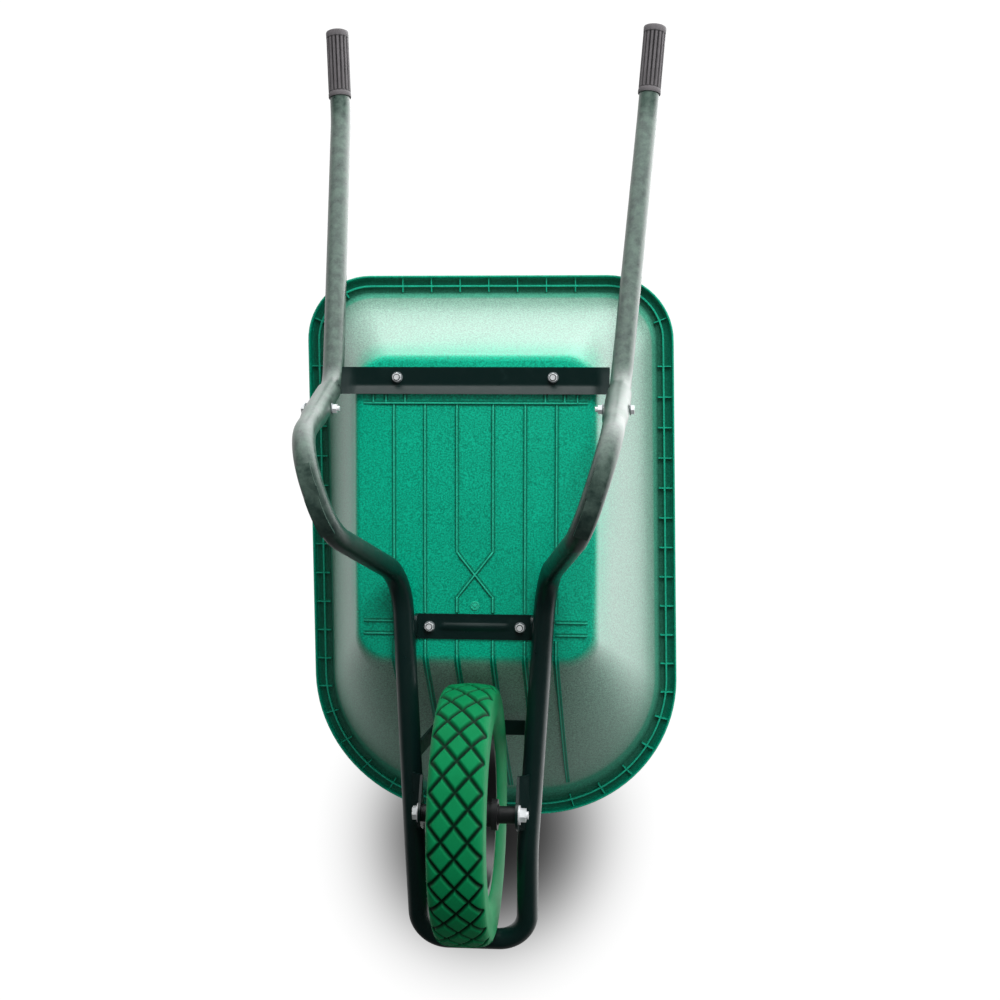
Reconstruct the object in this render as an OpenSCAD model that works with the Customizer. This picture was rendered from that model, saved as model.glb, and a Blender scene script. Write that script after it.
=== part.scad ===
// Builder's wheelbarrow: plastic tray on a bent steel tube frame, one wheel with a solid foam tyre.
// Y runs from the nose (negative) to the handles (positive), X is across, Z = 0 is the ground.

/* [Wheel] */
// Outside diameter of the tyre
tyre_d = 400; // [380:1:410]
// Widest width of the tyre
tyre_w = 86; // [80:1:100]
// Diameter of the rim where the tyre sits
rim_d = 236; // [220:1:250]
// Width of the rim between its flanges
rim_w = 62; // [54:1:66]
// Length of the hub tube
hub_len = 90; // [84:1:100]
// Outside diameter of the hub tube
hub_d = 38; // [34:1:44]
// Diameter of the hub end flanges
hub_flange_d = 48; // [42:1:60]
// Diameter of the axle bolt
axle_d = 12; // [10:1:14]

/* [Frame tube] */
// Outside diameter of every frame tube
tube_d = 33.7; // [30:0.1:36]
// Wall of the frame tube
tube_wall = 1.5; // [1.2:0.1:3]
// Centreline radius of the hoop corners at the nose
hoop_r = 46; // [40:1:60]
// Centreline radius of the leg bends
leg_bend_r = 82; // [60:1:84]

/* [Frame layout] */
// Half the distance between the rails at the axle
rail_x = 92; // [88:0.5:100]
// Outward run of each rail per millimetre of length behind the axle
rail_spread = 0.062; // [0.04:0.002:0.08]
// Height of the rail centreline above the axle
rail_rise = 41; // [36:1:50]
// Climb of the rails towards the handles, in degrees
rail_tilt = 6.8; // [5:0.1:8]
// Clear gap between the tyre and the nose hoop
nose_gap = 12; // [8:1:30]
// Height of the nose hoop centreline above the axle
nose_rise = 64; // [50:1:80]
// Distance from the axle back to the bend where the rail becomes the leg
leg_front_y = 357; // [330:1:390]
// Half the distance between the feet at the front bend
foot_front_x = 181; // [160:1:200]
// Distance from the axle back to the front bend of the foot
foot_front_y = 459; // [450:1:465]
// Half the distance between the feet at the rear bend
foot_rear_x = 221; // [210:1:230]
// Distance from the axle back to the rear bend of the foot
foot_rear_y = 585; // [580:1:600]
// Thickness of the wear strap under each foot
strap_t = 3.5; // [3:0.5:5]
// Width of the wear strap under each foot
strap_w = 21; // [16:1:26]

/* [Handles] */
// Half the distance between the handles where they bend down into the legs
handle_x = 226; // [220:1:234]
// Distance from the axle back to that bend
handle_y = 652; // [646:1:665]
// Height of that bend above the ground
handle_h = 318; // [310:1:330]
// Climb of the handles, in degrees
handle_tilt = 32.4; // [26:0.1:36]
// Outward run of each handle per millimetre of length
handle_spread = 0.078; // [0.06:0.002:0.09]
// Distance from the lower bend to the slight bend before the grip, along Y
handle_run = 442; // [400:1:500]
// Climb of the grips, in degrees
grip_tilt = 14; // [8:0.5:24]
// Distance from the slight bend to the end of the grip, along Y
grip_run = 150; // [145:1:170]
// Length of the grip
grip_len = 118; // [110:1:125]
// Outside diameter of the grip
grip_d = 38.5; // [37:0.5:42]

/* [Tray] */
// Thickness of the moulded tray wall
tray_wall = 3.5; // [2.5:0.5:5]
// Height of the underside of the tray floor above the ground, at the front crossbar
floor_h = 294.5; // [292:0.5:300]
// Climb of the tray floor towards the handles, in degrees
floor_tilt = 2.2; // [1:0.1:4]
// Half the width of the flat tray floor
floor_x = 181; // [170:1:186]
// Front edge of the flat tray floor, behind the axle
floor_front_y = 230; // [220:1:245]
// Rear edge of the flat tray floor, behind the axle
floor_rear_y = 690; // [685:1:700]
// Half the width of the rim at the handle end
rim_rear_x = 308; // [300:1:316]
// Half the width of the rim at the nose end
rim_front_x = 318; // [305:1:325]
// Rear edge of the rim, behind the axle
rim_rear_y = 827; // [815:1:850]
// Front edge of the rim, ahead of the axle
rim_front_y = 125; // [110:1:140]
// Height of the rim at its rear edge
rim_rear_h = 531; // [520:1:560]
// Drop of the rim plane towards the handles, in degrees
rim_tilt = 7.4; // [5:0.1:9]
// Corner radius of the rim at the handle end
rim_rear_r = 110; // [100:1:130]
// Corner radius of the rim at the nose end
rim_front_r = 253; // [230:1:270]
// Width of the folded rim flange outside the wall
flange_w = 28; // [24:1:34]
// Depth of the rim flange skirt
skirt_h = 16; // [12:1:22]
// Spacing of the small cross ribs inside the rim flange
rim_rib_pitch = 51; // [44:1:60]
// Height of the ribs under the floor
floor_rib_h = 3.5; // [2:0.5:5]

/* [Crossbars and brackets] */
// Width of the rear crossbar along Y
rear_bar_w = 42; // [36:1:48]
// Distance from the axle back to the middle of the rear crossbar
rear_bar_y = 661; // [655:1:668]
// Half the distance between the rear tray bolts
rear_bolt_x = 122; // [110:1:140]
// Width of the front crossbar along Y
front_bar_w = 40; // [34:1:44]
// Distance from the axle back to the middle of the front crossbar
front_bar_y = 275; // [268:1:282]
// Half the distance between the front tray bolts
front_bolt_x = 71.5; // [60:0.5:76]
// Sheet thickness of the crossbars
bar_t = 3; // [2:0.5:4]
// Plate thickness of the axle brackets
bracket_t = 4; // [3:0.5:5]
// Length of the axle brackets along the rail
bracket_len = 86; // [70:1:100]
// Half the distance between the outer faces of the axle brackets
bracket_x = 77; // [75:0.5:80]
// Width of the flat bar of the tray stay
stay_w = 24; // [20:1:30]
// Thickness of the flat bar of the tray stay
stay_t = 4; // [3:0.5:5]
// Distance from the axle back to the middle of the tray stay
stay_y = 88; // [80:1:96]

/* [Fasteners] */
// Diameter of the tray and leg bolts
bolt_d = 8; // [6:1:10]
// Thickness of the washers on the tray and leg bolts
washer_t = 1.6; // [1:0.1:2.5]
// Clearance on the diameter of every drilled hole
hole_clear = 0.8; // [0.4:0.1:1.5]
// Running clearance on the radius between axle and wheel bushes
run_clear = 0.05; // [0.02:0.01:0.1]
// Gap left between pieces that are pushed over each other
fit_gap = 0.3; // [0.2:0.05:0.5]

/* [Hidden] */
$fn = 64;

steel_green = [0.06, 0.14, 0.13];
tray_green = [0.03, 0.55, 0.38];
tyre_green = [0.05, 0.48, 0.27];
zinc = [0.80, 0.81, 0.83];
plastic_black = [0.07, 0.07, 0.07];
grip_grey = [0.27, 0.27, 0.28];

tube_r = tube_d / 2;
axle_h = tyre_d / 2;
eps = 0.01;

// Vector helpers
function unit(v) = v / norm(v);
function mix(a, b, t) = a + (b - a) * t;
function any_side(d) = abs(d[2]) < 0.9 ? unit(cross(d, [0, 0, 1])) : unit(cross(d, [1, 0, 0]));

// Frame centreline points for the side at +X, from the middle of the nose to the top of the leg
nose_y = -sqrt(pow(tyre_d / 2 + nose_gap + tube_r, 2) - pow(nose_rise, 2));
nose_bend_y = -62;
function rail_pt(y) = [rail_x + rail_spread * y, y, axle_h + rail_rise + y * tan(rail_tilt)];
foot_h = tube_r + strap_t - 0.5;
nose_corner = [rail_pt(nose_bend_y)[0] - 3, nose_y, axle_h + nose_rise];
rail_front = rail_pt(nose_bend_y);
rail_rear = rail_pt(leg_front_y);
foot_front = [foot_front_x, foot_front_y, foot_h];
foot_rear = [foot_rear_x, foot_rear_y, foot_h];
handle_bend = [handle_x, handle_y, handle_h];
leg_dir = unit(handle_bend - foot_rear);

// The leg top is a half-open socket that hugs the lower end of the handle tube
leg_bolt_h = axle_h - 9;
socket_wall = 2.2;
socket_r = tube_r + fit_gap;
socket_top = 82;
socket_bottom = -74;
flare_len = 26;
handle_end = -66;
function leg_at(d) = leg_bolt + leg_dir * d;
leg_bolt = foot_rear + leg_dir * ((leg_bolt_h - foot_h) / leg_dir[2]);

// Handle centreline points for the side at +X
handle_bend_r = 80;
grip_bend_r = 140;
grip_bend = handle_bend + [handle_spread, 1, tan(handle_tilt)] * handle_run;
grip_end = grip_bend + [handle_spread, 1, tan(grip_tilt)] * grip_run;
grip_dir = unit(grip_end - grip_bend);
grip_cap = 4;
grip_end_r = grip_d / 2 - 3;

// Overall box along Y, used to centre the barrow over the origin
y_min = nose_y - tube_r;
y_max = grip_end[1] + grip_end_r * sqrt(1 - pow(grip_dir[1], 2));
y_mid = (y_min + y_max) / 2;

// Puts a piece built around the axle into the barrow's own frame
module placed() {
    translate([0, -y_mid, 0]) children();
}

// Mirrors to the -X side
module other_side() {
    mirror([1, 0, 0]) children();
}

// Frame of reference with Z along the direction d at the point p
module along(p, d) {
    u = any_side(d);
    v = cross(d, u);
    multmatrix([[u[0], v[0], d[0], p[0]],
                [u[1], v[1], d[1], p[1]],
                [u[2], v[2], d[2], p[2]],
                [0, 0, 0, 1]]) children();
}

// Section of a tube
module ring(r, wall) {
    difference() {
        circle(r);
        circle(r - wall);
    }
}

// How far a bend of radius r at point i reaches along its straight runs
function turn(p, i) = acos(unit(p[i] - p[i - 1]) * unit(p[i + 1] - p[i]));
function reach(p, r, i) = i == 0 || i == len(p) - 1 ? 0 : r[i] * tan(turn(p, i) / 2);

// One bend: an arc of the tube section that runs a little way into the straights on both sides
bend_lap = 0.6;
lap_step = 0.03;
module bend(p, r, i) {
    a = unit(p[i] - p[i - 1]);
    b = unit(p[i + 1] - p[i]);
    inward = unit(b - (a * b) * a);
    e = -inward;
    n = cross(e, a);
    c = p[i] - a * reach(p, r, i) + inward * r[i];
    lap = bend_lap / r[i] * 180 / PI;
    multmatrix([[e[0], a[0], n[0], c[0]],
                [e[1], a[1], n[1], c[1]],
                [e[2], a[2], n[2], c[2]],
                [0, 0, 0, 1]])
        rotate([0, 0, -lap]) rotate_extrude(angle = turn(p, i) + 2 * lap) translate([r[i], 0]) children();
}

// Tube of constant section through the points p with bend radii r
module bent_tube(p, r, rad, wall) {
    for (i = [0 : len(p) - 2]) {
        d = unit(p[i + 1] - p[i]);
        start = p[i] + d * reach(p, r, i);
        stop = p[i + 1] - d * reach(p, r, i + 1);
        along(start, d) linear_extrude(norm(stop - start)) ring(rad, wall);
    }
    for (i = [1 : len(p) - 2]) bend(p, r, i) ring(rad - lap_step, wall - 2 * lap_step);
}

frame_pts = [nose_corner, rail_front, rail_rear, foot_front, foot_rear,
             leg_at(socket_bottom - flare_len)];
frame_radii = [hoop_r, 150, leg_bend_r - 4, leg_bend_r, leg_bend_r, 0];
// Index of the two foot bends in that list
front_foot = 3;
rear_foot = 4;
function mirrored(v) = [-v[0], v[1], v[2]];
last_pt = len(frame_pts) - 1;
whole_pts = concat([for (i = [last_pt : -1 : 0]) mirrored(frame_pts[i])], frame_pts);
whole_radii = concat([for (i = [last_pt : -1 : 0]) frame_radii[i]], frame_radii);

// Wall of the half-open socket, drawn along the leg axis with its opening towards the nose
module socket() {
    len_socket = socket_top - socket_bottom;
    along(leg_at(socket_bottom - flare_len - 1), leg_dir) difference() {
        cylinder(h = flare_len + 2, r1 = tube_r + 0.15, r2 = socket_r + socket_wall - 0.1);
        translate([0, 0, -1]) cylinder(h = flare_len + 4, r1 = tube_r - tube_wall + 0.1, r2 = socket_r + 0.1);
    }
    difference() {
        along(leg_at(socket_bottom), leg_dir) linear_extrude(len_socket) ring(socket_r + socket_wall, socket_wall);
        along(leg_at(socket_bottom), leg_dir) translate([0, 0, 30]) socket_mouth(len_socket);
        leg_bolt_hole();
    }
}

// The part of the socket that is cut away on the nose side
module socket_mouth(h) {
    toward_nose = unit([0, -1, 0] + leg_dir[1] * leg_dir);
    u = any_side(leg_dir);
    v = cross(leg_dir, u);
    turned = atan2(toward_nose * v, toward_nose * u);
    rotate([0, 0, turned]) translate([3, -socket_r - 10, 0]) cube([socket_r + 20, 2 * socket_r + 20, h]);
}

module leg_bolt_hole() {
    translate(leg_bolt) rotate([0, 90, 0])
        cylinder(h = 6 * tube_r, d = bolt_d + hole_clear, center = true);
}

// One bent tube: nose hoop, rails, legs and the sockets at the leg tops
module front_frame() {
    color(steel_green) placed() {
        bent_tube(whole_pts, whole_radii, tube_r, tube_wall);
        socket();
        other_side() socket();
    }
}

handle_pts = [leg_at(handle_end), handle_bend, grip_bend, grip_end - grip_dir * (grip_cap + fit_gap)];
handle_radii = [0, handle_bend_r, grip_bend_r, 0];

// Handle tube at +X: short run down into the leg socket, long run up to the grip
module handle() {
    difference() {
        bent_tube(handle_pts, handle_radii, tube_r, tube_wall);
        leg_bolt_hole();
    }
}

module handle_left() {
    color(steel_green) placed() handle();
}

module handle_right() {
    color(steel_green) placed() other_side() handle();
}

// Moulded grip: collar, fluted body and closed end
grip_flutes = 24;
flute_r = 1.1;
collar_len = 9;
module grip() {
    along(grip_end - grip_dir * grip_len, grip_dir) difference() {
        union() {
            cylinder(h = grip_len - 3, d = grip_d - 0.6);
            cylinder(h = collar_len, d = grip_d);
            translate([0, 0, grip_len - 3]) cylinder(h = 3, r1 = grip_d / 2 - 0.3, r2 = grip_end_r);
            translate([0, 0, grip_len - 16]) cylinder(h = 4, d = grip_d);
        }
        translate([0, 0, -eps]) cylinder(h = grip_len - grip_cap, r = tube_r + fit_gap / 2);
    }
}

module grip_left() {
    color(grip_grey) placed() grip();
}

module grip_right() {
    color(grip_grey) placed() other_side() grip();
}

// Height of the tray floor's underside and frame of reference lying on it
function floor_z(y) = floor_h + (y - front_bar_y) * tan(floor_tilt);
module on_floor(y) {
    translate([0, y, floor_z(y)]) rotate([floor_tilt, 0, 0]) children();
}

// Rear crossbar: pressed strip with a sloping lower lip and plain ends against the handle tubes
lip_w = 14;
lip_drop = 8;
end_tab = 24;
module rear_crossbar() {
    web_w = rear_bar_w - lip_w;
    half_len = handle_x - tube_r + 2;
    color(steel_green) placed() difference() {
        on_floor(rear_bar_y) {
            translate([-half_len, -rear_bar_w / 2 + lip_w, -bar_t]) cube([2 * half_len, web_w, bar_t]);
            translate([-half_len + end_tab, 0, 0]) rotate([90, 0, 90]) linear_extrude(2 * (half_len - end_tab))
                polygon([[-rear_bar_w / 2 + lip_w, -bar_t], [-rear_bar_w / 2 + lip_w, 0],
                         [-rear_bar_w / 2, -lip_drop], [-rear_bar_w / 2, -lip_drop - bar_t]]);
            for (s = [-1, 1]) translate([s * (half_len - end_tab / 2), -rear_bar_w / 2 + lip_w / 2, -bar_t / 2])
                cube([end_tab, lip_w + eps, bar_t], center = true);
        }
        for (s = [-1, 1]) on_floor(rear_bar_y) translate([s * rear_bolt_x, 5, -bar_t - 1])
            cylinder(h = bar_t + 2, d = bolt_d + hole_clear);
        for (m = [0, 1]) mirror([m, 0, 0]) bent_tube(handle_pts, handle_radii, tube_r + fit_gap, tube_r + fit_gap - 1);
    }
}

// Front crossbar: strap with end tabs welded to the inner faces of the rails
front_tab_h = 20;
module front_crossbar() {
    inner = rail_pt(front_bar_y)[0] - tube_r - 0.4;
    color(steel_green) placed() difference() {
        on_floor(front_bar_y) {
            translate([-inner, -front_bar_w / 2, -bar_t]) cube([2 * inner, front_bar_w, bar_t]);
            for (s = [-1, 1]) translate([s * (inner - bar_t / 2), 0, -front_tab_h / 2])
                cube([bar_t, front_bar_w, front_tab_h], center = true);
            translate([0, 0, -bar_t - 1]) cube([100, 6, 2 + eps], center = true);
        }
        for (s = [-1, 1]) on_floor(front_bar_y) translate([s * front_bolt_x, 0, -bar_t - 1])
            cylinder(h = bar_t + 2, d = bolt_d + hole_clear);
        for (m = [0, 1]) mirror([m, 0, 0]) rail_sleeve();
    }
}

// The rail tube with the fit gap around it, cut from what is welded to it
module rail_sleeve() {
    a = rail_front;
    b = rail_rear;
    along(a, unit(b - a)) cylinder(h = norm(b - a), r = tube_r + fit_gap);
}

// Tray stay: flat bar bent into an arch that stands on the rails over the wheel
stay_top_x = 74;
module tray_stay() {
    top = stay_top_z();
    base = rail_pt(stay_y)[2] - 5;
    foot_x = rail_pt(stay_y)[0] - tube_r + 5;
    color(steel_green) placed() difference() {
        translate([0, stay_y + stay_w / 2, 0]) rotate([90, 0, 0]) linear_extrude(stay_w)
            polygon([[-foot_x, base], [-stay_top_x, top], [stay_top_x, top], [foot_x, base],
                     [foot_x - stay_t, base], [stay_top_x - stay_t, top - stay_t],
                     [-stay_top_x + stay_t, top - stay_t], [-foot_x + stay_t, base]]);
        for (m = [0, 1]) mirror([m, 0, 0]) rail_sleeve();
    }
}

// Axle bracket at +X: plate bent inward from the rail down to the axle
bracket_mid_y = 13;
bracket_drop = 22;
module axle_bracket() {
    low = axle_h - bracket_drop;
    knee = axle_h + 17;
    top = axle_h + rail_rise - 4;
    out = rail_x - 1;
    difference() {
        intersection() {
            translate([0, bracket_mid_y + bracket_len / 2, 0]) rotate([90, 0, 0]) linear_extrude(bracket_len)
                polygon([[bracket_x - bracket_t, low], [bracket_x, low], [bracket_x, knee],
                         [out, knee + 8], [out, top], [out - bracket_t, top], [out - bracket_t, knee + 10],
                         [bracket_x - bracket_t, knee + 1]]);
            translate([bracket_x - 10, 0, 0]) rotate([90, 0, 90]) linear_extrude(60) bracket_side();
        }
        rail_sleeve();
        translate([0, 0, axle_h]) rotate([0, 90, 0]) cylinder(h = 200, d = axle_d + hole_clear);
    }
}

// Side outline of the bracket: long edge on the rail, round end below the axle
module bracket_side() {
    front = bracket_mid_y - bracket_len / 2;
    back = bracket_mid_y + bracket_len / 2;
    translate([0, axle_h]) circle(bracket_drop);
    polygon([[-bracket_drop * 0.94, axle_h - 8], [bracket_drop * 0.94, axle_h - 8], [back, axle_h + 14],
             [back, axle_h + 60], [front, axle_h + 60], [front, axle_h + 14]]);
}

module axle_bracket_left() {
    color(steel_green) placed() axle_bracket();
}

module axle_bracket_right() {
    color(steel_green) placed() other_side() axle_bracket();
}

// Wear strap welded under each foot, worn flat where it meets the ground
strap_rear_turn = 20;
strap_front_turn = 36;
module strap_section(radius) {
    translate([radius + tube_r + fit_gap, -strap_w / 2]) square([strap_t, strap_w]);
}

module strap_arc(i, from, to) {
    p = frame_pts;
    r = frame_radii;
    a = unit(p[i] - p[i - 1]);
    b = unit(p[i + 1] - p[i]);
    inward = unit(b - (a * b) * a);
    e = -inward;
    n = cross(e, a);
    c = p[i] - a * reach(p, r, i) + inward * r[i];
    multmatrix([[e[0], a[0], n[0], c[0]],
                [e[1], a[1], n[1], c[1]],
                [e[2], a[2], n[2], c[2]],
                [0, 0, 0, 1]])
        rotate([0, 0, from]) rotate_extrude(angle = to - from) strap_section(r[i]);
}

module foot_strap() {
    front_turn = turn(frame_pts, front_foot);
    d = unit(foot_rear - foot_front);
    start = foot_front + d * (reach(frame_pts, frame_radii, front_foot) - 1);
    run = norm(foot_rear - foot_front) - reach(frame_pts, frame_radii, front_foot)
        - reach(frame_pts, frame_radii, rear_foot) + 2;
    heading = atan2(d[0], d[1]);
    difference() {
        union() {
            strap_arc(front_foot, front_turn - strap_front_turn, front_turn);
            strap_arc(rear_foot, 0, strap_rear_turn);
            translate(start) rotate([0, 0, -heading]) translate([-strap_w / 2, 0, -tube_r - fit_gap - strap_t])
                cube([strap_w, run, strap_t]);
        }
        translate([0, 0, -50]) cube([2000, 3000, 100], center = true);
    }
}

module foot_strap_left() {
    color(steel_green) placed() foot_strap();
}

module foot_strap_right() {
    color(steel_green) placed() other_side() foot_strap();
}

// Wheel axis runs along X through the axle height
module on_axle() {
    translate([0, 0, axle_h]) rotate([0, 90, 0]) children();
}

axle_washer_d = 30;
axle_washer_t = 2.5;
axle_head_h = 7.5;
axle_flats = 19;
// Hexagon measured across its flats
module hexagon(flats, h) {
    cylinder(h = h, d = flats / cos(30), $fn = 6);
}

module axle_bolt() {
    head_at = bracket_x + axle_washer_t;
    color(zinc) placed() on_axle() {
        translate([0, 0, -head_at - axle_head_h - 5]) cylinder(h = 2 * head_at + axle_head_h + 8, d = axle_d);
        translate([0, 0, head_at]) hexagon(axle_flats, axle_head_h);
    }
}

module axle_washers() {
    color(zinc) placed() on_axle() for (s = [0, 1]) mirror([0, 0, s]) translate([0, 0, bracket_x])
        difference() {
            cylinder(h = axle_washer_t, d = axle_washer_d);
            translate([0, 0, -1]) cylinder(h = axle_washer_t + 2, d = axle_d + hole_clear);
        }
}

module axle_nut() {
    color(zinc) placed() on_axle() mirror([0, 0, 1]) translate([0, 0, bracket_x + axle_washer_t]) difference() {
        hexagon(axle_flats, axle_head_h + 1.5);
        translate([0, 0, -1]) cylinder(h = axle_head_h + 4, d = axle_d + 2 * run_clear);
    }
}

spacer_d = 27;
side_play = 0.3;
module hub_spacer() {
    inner = hub_len / 2 + bush_lip + side_play;
    on_axle() translate([0, 0, inner]) difference() {
        cylinder(h = bracket_x - bracket_t - inner, d = spacer_d);
        translate([0, 0, -1]) cylinder(h = 80, d = axle_d + hole_clear);
    }
}

module hub_spacer_left() {
    color(plastic_black) placed() hub_spacer();
}

module hub_spacer_right() {
    color(plastic_black) placed() other_side() hub_spacer();
}

// Plain bush pressed into each end of the hub
bush_lip = 2;
bush_len = 24;
bush_d = 24;
module hub_bush() {
    on_axle() difference() {
        union() {
            translate([0, 0, hub_len / 2 - bush_len]) cylinder(h = bush_len + bush_lip, d = bush_d);
            translate([0, 0, hub_len / 2]) cylinder(h = bush_lip, d = bush_d + 8);
        }
        translate([0, 0, hub_len / 2 - bush_len - 1]) cylinder(h = bush_len + bush_lip + 2, r = axle_d / 2 + run_clear);
    }
}

module hub_bush_left() {
    color(plastic_black) placed() hub_bush();
}

module hub_bush_right() {
    color(plastic_black) placed() other_side() hub_bush();
}

// Hub tube with a flange at each end
hub_flange_t = 9;
module hub() {
    color(plastic_black) placed() on_axle() difference() {
        union() {
            cylinder(h = hub_len - 2 * eps, d = hub_d, center = true);
            for (s = [0, 1]) mirror([0, 0, s]) translate([0, 0, hub_len / 2 - hub_flange_t])
                cylinder(h = hub_flange_t, d = hub_flange_d);
        }
        for (s = [0, 1]) mirror([0, 0, s]) translate([0, 0, hub_len / 2 - bush_len - eps])
            cylinder(h = bush_len + 1, d = bush_d + 0.02);
        cylinder(h = hub_len + 2, d = axle_d + 4, center = true);
    }
}

// Wheel disc with a boss on the hub and a rolled channel that holds the tyre
rim_wall = 3;
rim_flange_h = 9;
disc_t = 5;
boss_len = 50;
boss_wall = 5;
module rim() {
    seat = rim_d / 2;
    half = rim_w / 2;
    well = seat - 12;
    bore = hub_d / 2;
    side = [[bore, boss_len / 2], [bore + boss_wall, boss_len / 2], [bore + boss_wall + 3, disc_t / 2],
            [well - rim_wall - 3, disc_t / 2], [well - rim_wall, 9], [seat - rim_wall, half],
            [seat + rim_flange_h, half], [seat + rim_flange_h, half - rim_wall], [seat, half - rim_wall],
            [well, 8]];
    color(plastic_black) placed() on_axle() rotate_extrude()
        polygon(concat(side, [for (i = [len(side) - 1 : -1 : 0]) [side[i][0], -side[i][1]]]));
}

// Solid foam tyre: crown, round shoulders, bulged sidewalls and a foot that fills the rim channel
shoulder_r = 21;
crown_half = 17;
module tyre() {
    crown = tyre_d / 2;
    half = tyre_w / 2;
    seat = rim_d / 2 + fit_gap;
    top = rim_d / 2 + rim_flange_h + fit_gap;
    foot = rim_w / 2 - rim_wall - fit_gap;
    side = concat([[seat - 12, 8], [seat, foot], [top, foot], [top, rim_w / 2 + 2], [crown - 66, half - 8],
                   [crown - 58, half - 3.5], [crown - 48, half - 0.7], [crown - 38, half]],
                  [for (a = [90 : -15 : 15]) [crown - 5 - shoulder_r + shoulder_r * cos(a),
                                              half - 2 - shoulder_r + shoulder_r * sin(a)]],
                  [[crown, crown_half]]);
    color(tyre_green) placed() on_axle() rotate_extrude()
        polygon(concat(side, [for (i = [len(side) - 1 : -1 : 0]) [side[i][0], -side[i][1]]]));
}

// Fasteners
nut_flats = 13;
nut_h = 6.5;
washer_d = 17;
module nut_at(z) {
    translate([0, 0, z]) difference() {
        hexagon(nut_flats, nut_h);
        translate([0, 0, -1]) cylinder(h = nut_h + 2, d = bolt_d + 2 * run_clear);
    }
}

module washer_at(z) {
    translate([0, 0, z]) difference() {
        cylinder(h = washer_t, d = washer_d);
        translate([0, 0, -1]) cylinder(h = washer_t + 2, d = bolt_d + hole_clear);
    }
}

// Leg bolts pass across each socket, head outside and nut inside
module each_leg_bolt() {
    for (m = [0, 1]) mirror([m, 0, 0]) translate(leg_bolt) rotate([0, 90, 0]) children();
}

leg_grip = socket_r + socket_wall + 0.2;
module leg_bolts() {
    color(zinc) placed() each_leg_bolt() {
        translate([0, 0, -leg_grip - washer_t - nut_h - 4])
            cylinder(h = 2 * (leg_grip + washer_t) + nut_h + 6, d = bolt_d);
        translate([0, 0, leg_grip + washer_t]) hexagon(nut_flats, 5.3);
    }
}

module leg_washers() {
    color(zinc) placed() each_leg_bolt() {
        washer_at(leg_grip);
        washer_at(-leg_grip - washer_t);
    }
}

module leg_nuts() {
    color(zinc) placed() each_leg_bolt() nut_at(-leg_grip - washer_t - nut_h);
}

// Tray bolts stand square to the tray floor, domed head inside, nut under the crossbar
module each_tray_bolt() {
    for (s = [-1, 1]) {
        on_floor(rear_bar_y) translate([s * rear_bolt_x, 5, 0]) children();
        on_floor(front_bar_y) translate([s * front_bolt_x, 0, 0]) children();
    }
}

dome_r = 9.5;
dome_h = 4;
module tray_bolts() {
    color(zinc) placed() each_tray_bolt() {
        translate([0, 0, -bar_t - washer_t - nut_h - 3])
            cylinder(h = bar_t + washer_t + nut_h + 3 + tray_wall + washer_t + 2, d = bolt_d);
        translate([0, 0, tray_wall + washer_t]) cylinder(h = dome_h, r1 = dome_r, r2 = dome_r - 3.5);
    }
}

module tray_washers() {
    color(zinc) placed() each_tray_bolt() {
        washer_at(-bar_t - washer_t);
        translate([0, 0, tray_wall]) difference() {
            cylinder(h = washer_t, d = washer_d + 7);
            translate([0, 0, -1]) cylinder(h = washer_t + 2, d = bolt_d + hole_clear);
        }
    }
}

module tray_nuts() {
    color(zinc) placed() each_tray_bolt() nut_at(-bar_t - washer_t - nut_h);
}

// Tray outline: a rounded trapezium given as [rear half width, front half width, rear y, front y,
// rear corner radius, front corner radius]
arc_rear = 8;
arc_front = 14;
floor_line = [floor_x, floor_x, floor_rear_y, floor_front_y, 50, 42];
rim_line = [rim_rear_x, rim_front_x, rim_rear_y, -rim_front_y, rim_rear_r, rim_front_r];
function grown(o, d) = [o[0] + d, o[1] + d, o[2] + d, o[3] - d, o[4] + d, o[5] + d];
wall_line = grown(rim_line, -flange_w);
function corner(cx, cy, r, from, to, n) =
    [for (i = [0 : n]) [cx + r * cos(mix(from, to, i / n)), cy + r * sin(mix(from, to, i / n))]];
function half_outline(o) = concat(
    corner(o[1] - o[5], o[3] + o[5], o[5], -90, 0, arc_front),
    corner(o[0] - o[4], o[2] - o[4], o[4], 0, 90, arc_rear));
function flipped(pts) = [for (i = [len(pts) - 1 : -1 : 0]) [-pts[i][0], pts[i][1]]];
function outline(o) = concat(half_outline(o), flipped(half_outline(o)));
ring_n = 2 * (arc_front + arc_rear + 2);

function rim_z(y) = rim_rear_h + (rim_rear_y - y) * tan(rim_tilt);
// A level of the wall: s across from floor line to wall line, t up from floor to rim
function wall_ring(s, t, inset, lift) = [for (p = outline(grown(mix(floor_line, wall_line, s), -inset)))
    [p[0], p[1], mix(floor_z(p[1]), rim_z(p[1]) - tray_wall, t) + lift]];
// A level of the folded rim: d out from the wall line, z up from the rim plane
function rim_ring(d, z) = [for (p = outline(grown(wall_line, d))) [p[0], p[1], rim_z(p[1]) + z]];

// Wall profile from the floor edge to the flare under the rim: [across, up, slope weight]
wall_steps = [[0, 0, 0], [0.05, 0.008, 0.25], [0.09, 0.026, 0.5], [0.125, 0.06, 0.8], [0.15, 0.10, 1],
              [0.90, 0.90, 1], [0.93, 0.935, 0.9], [0.955, 0.965, 0.6], [0.978, 0.987, 0.35], [1, 1, 0.2]];
function inset_of(w) = tray_wall * 1.05 * w;
function lift_of(w) = tray_wall * (1 - 0.62 * w);
steps_up = [for (k = wall_steps) wall_ring(k[0], k[1], 0, 0)];
steps_down = [for (i = [len(wall_steps) - 1 : -1 : 0]) let (k = wall_steps[i])
    wall_ring(k[0], k[1], inset_of(k[2]), lift_of(k[2]))];
fold = [rim_ring(flange_w - 4, -tray_wall), rim_ring(flange_w - 3.2, -skirt_h), rim_ring(flange_w, -skirt_h),
        rim_ring(flange_w, -2.5), rim_ring(flange_w - 2.5, 0)];

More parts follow.
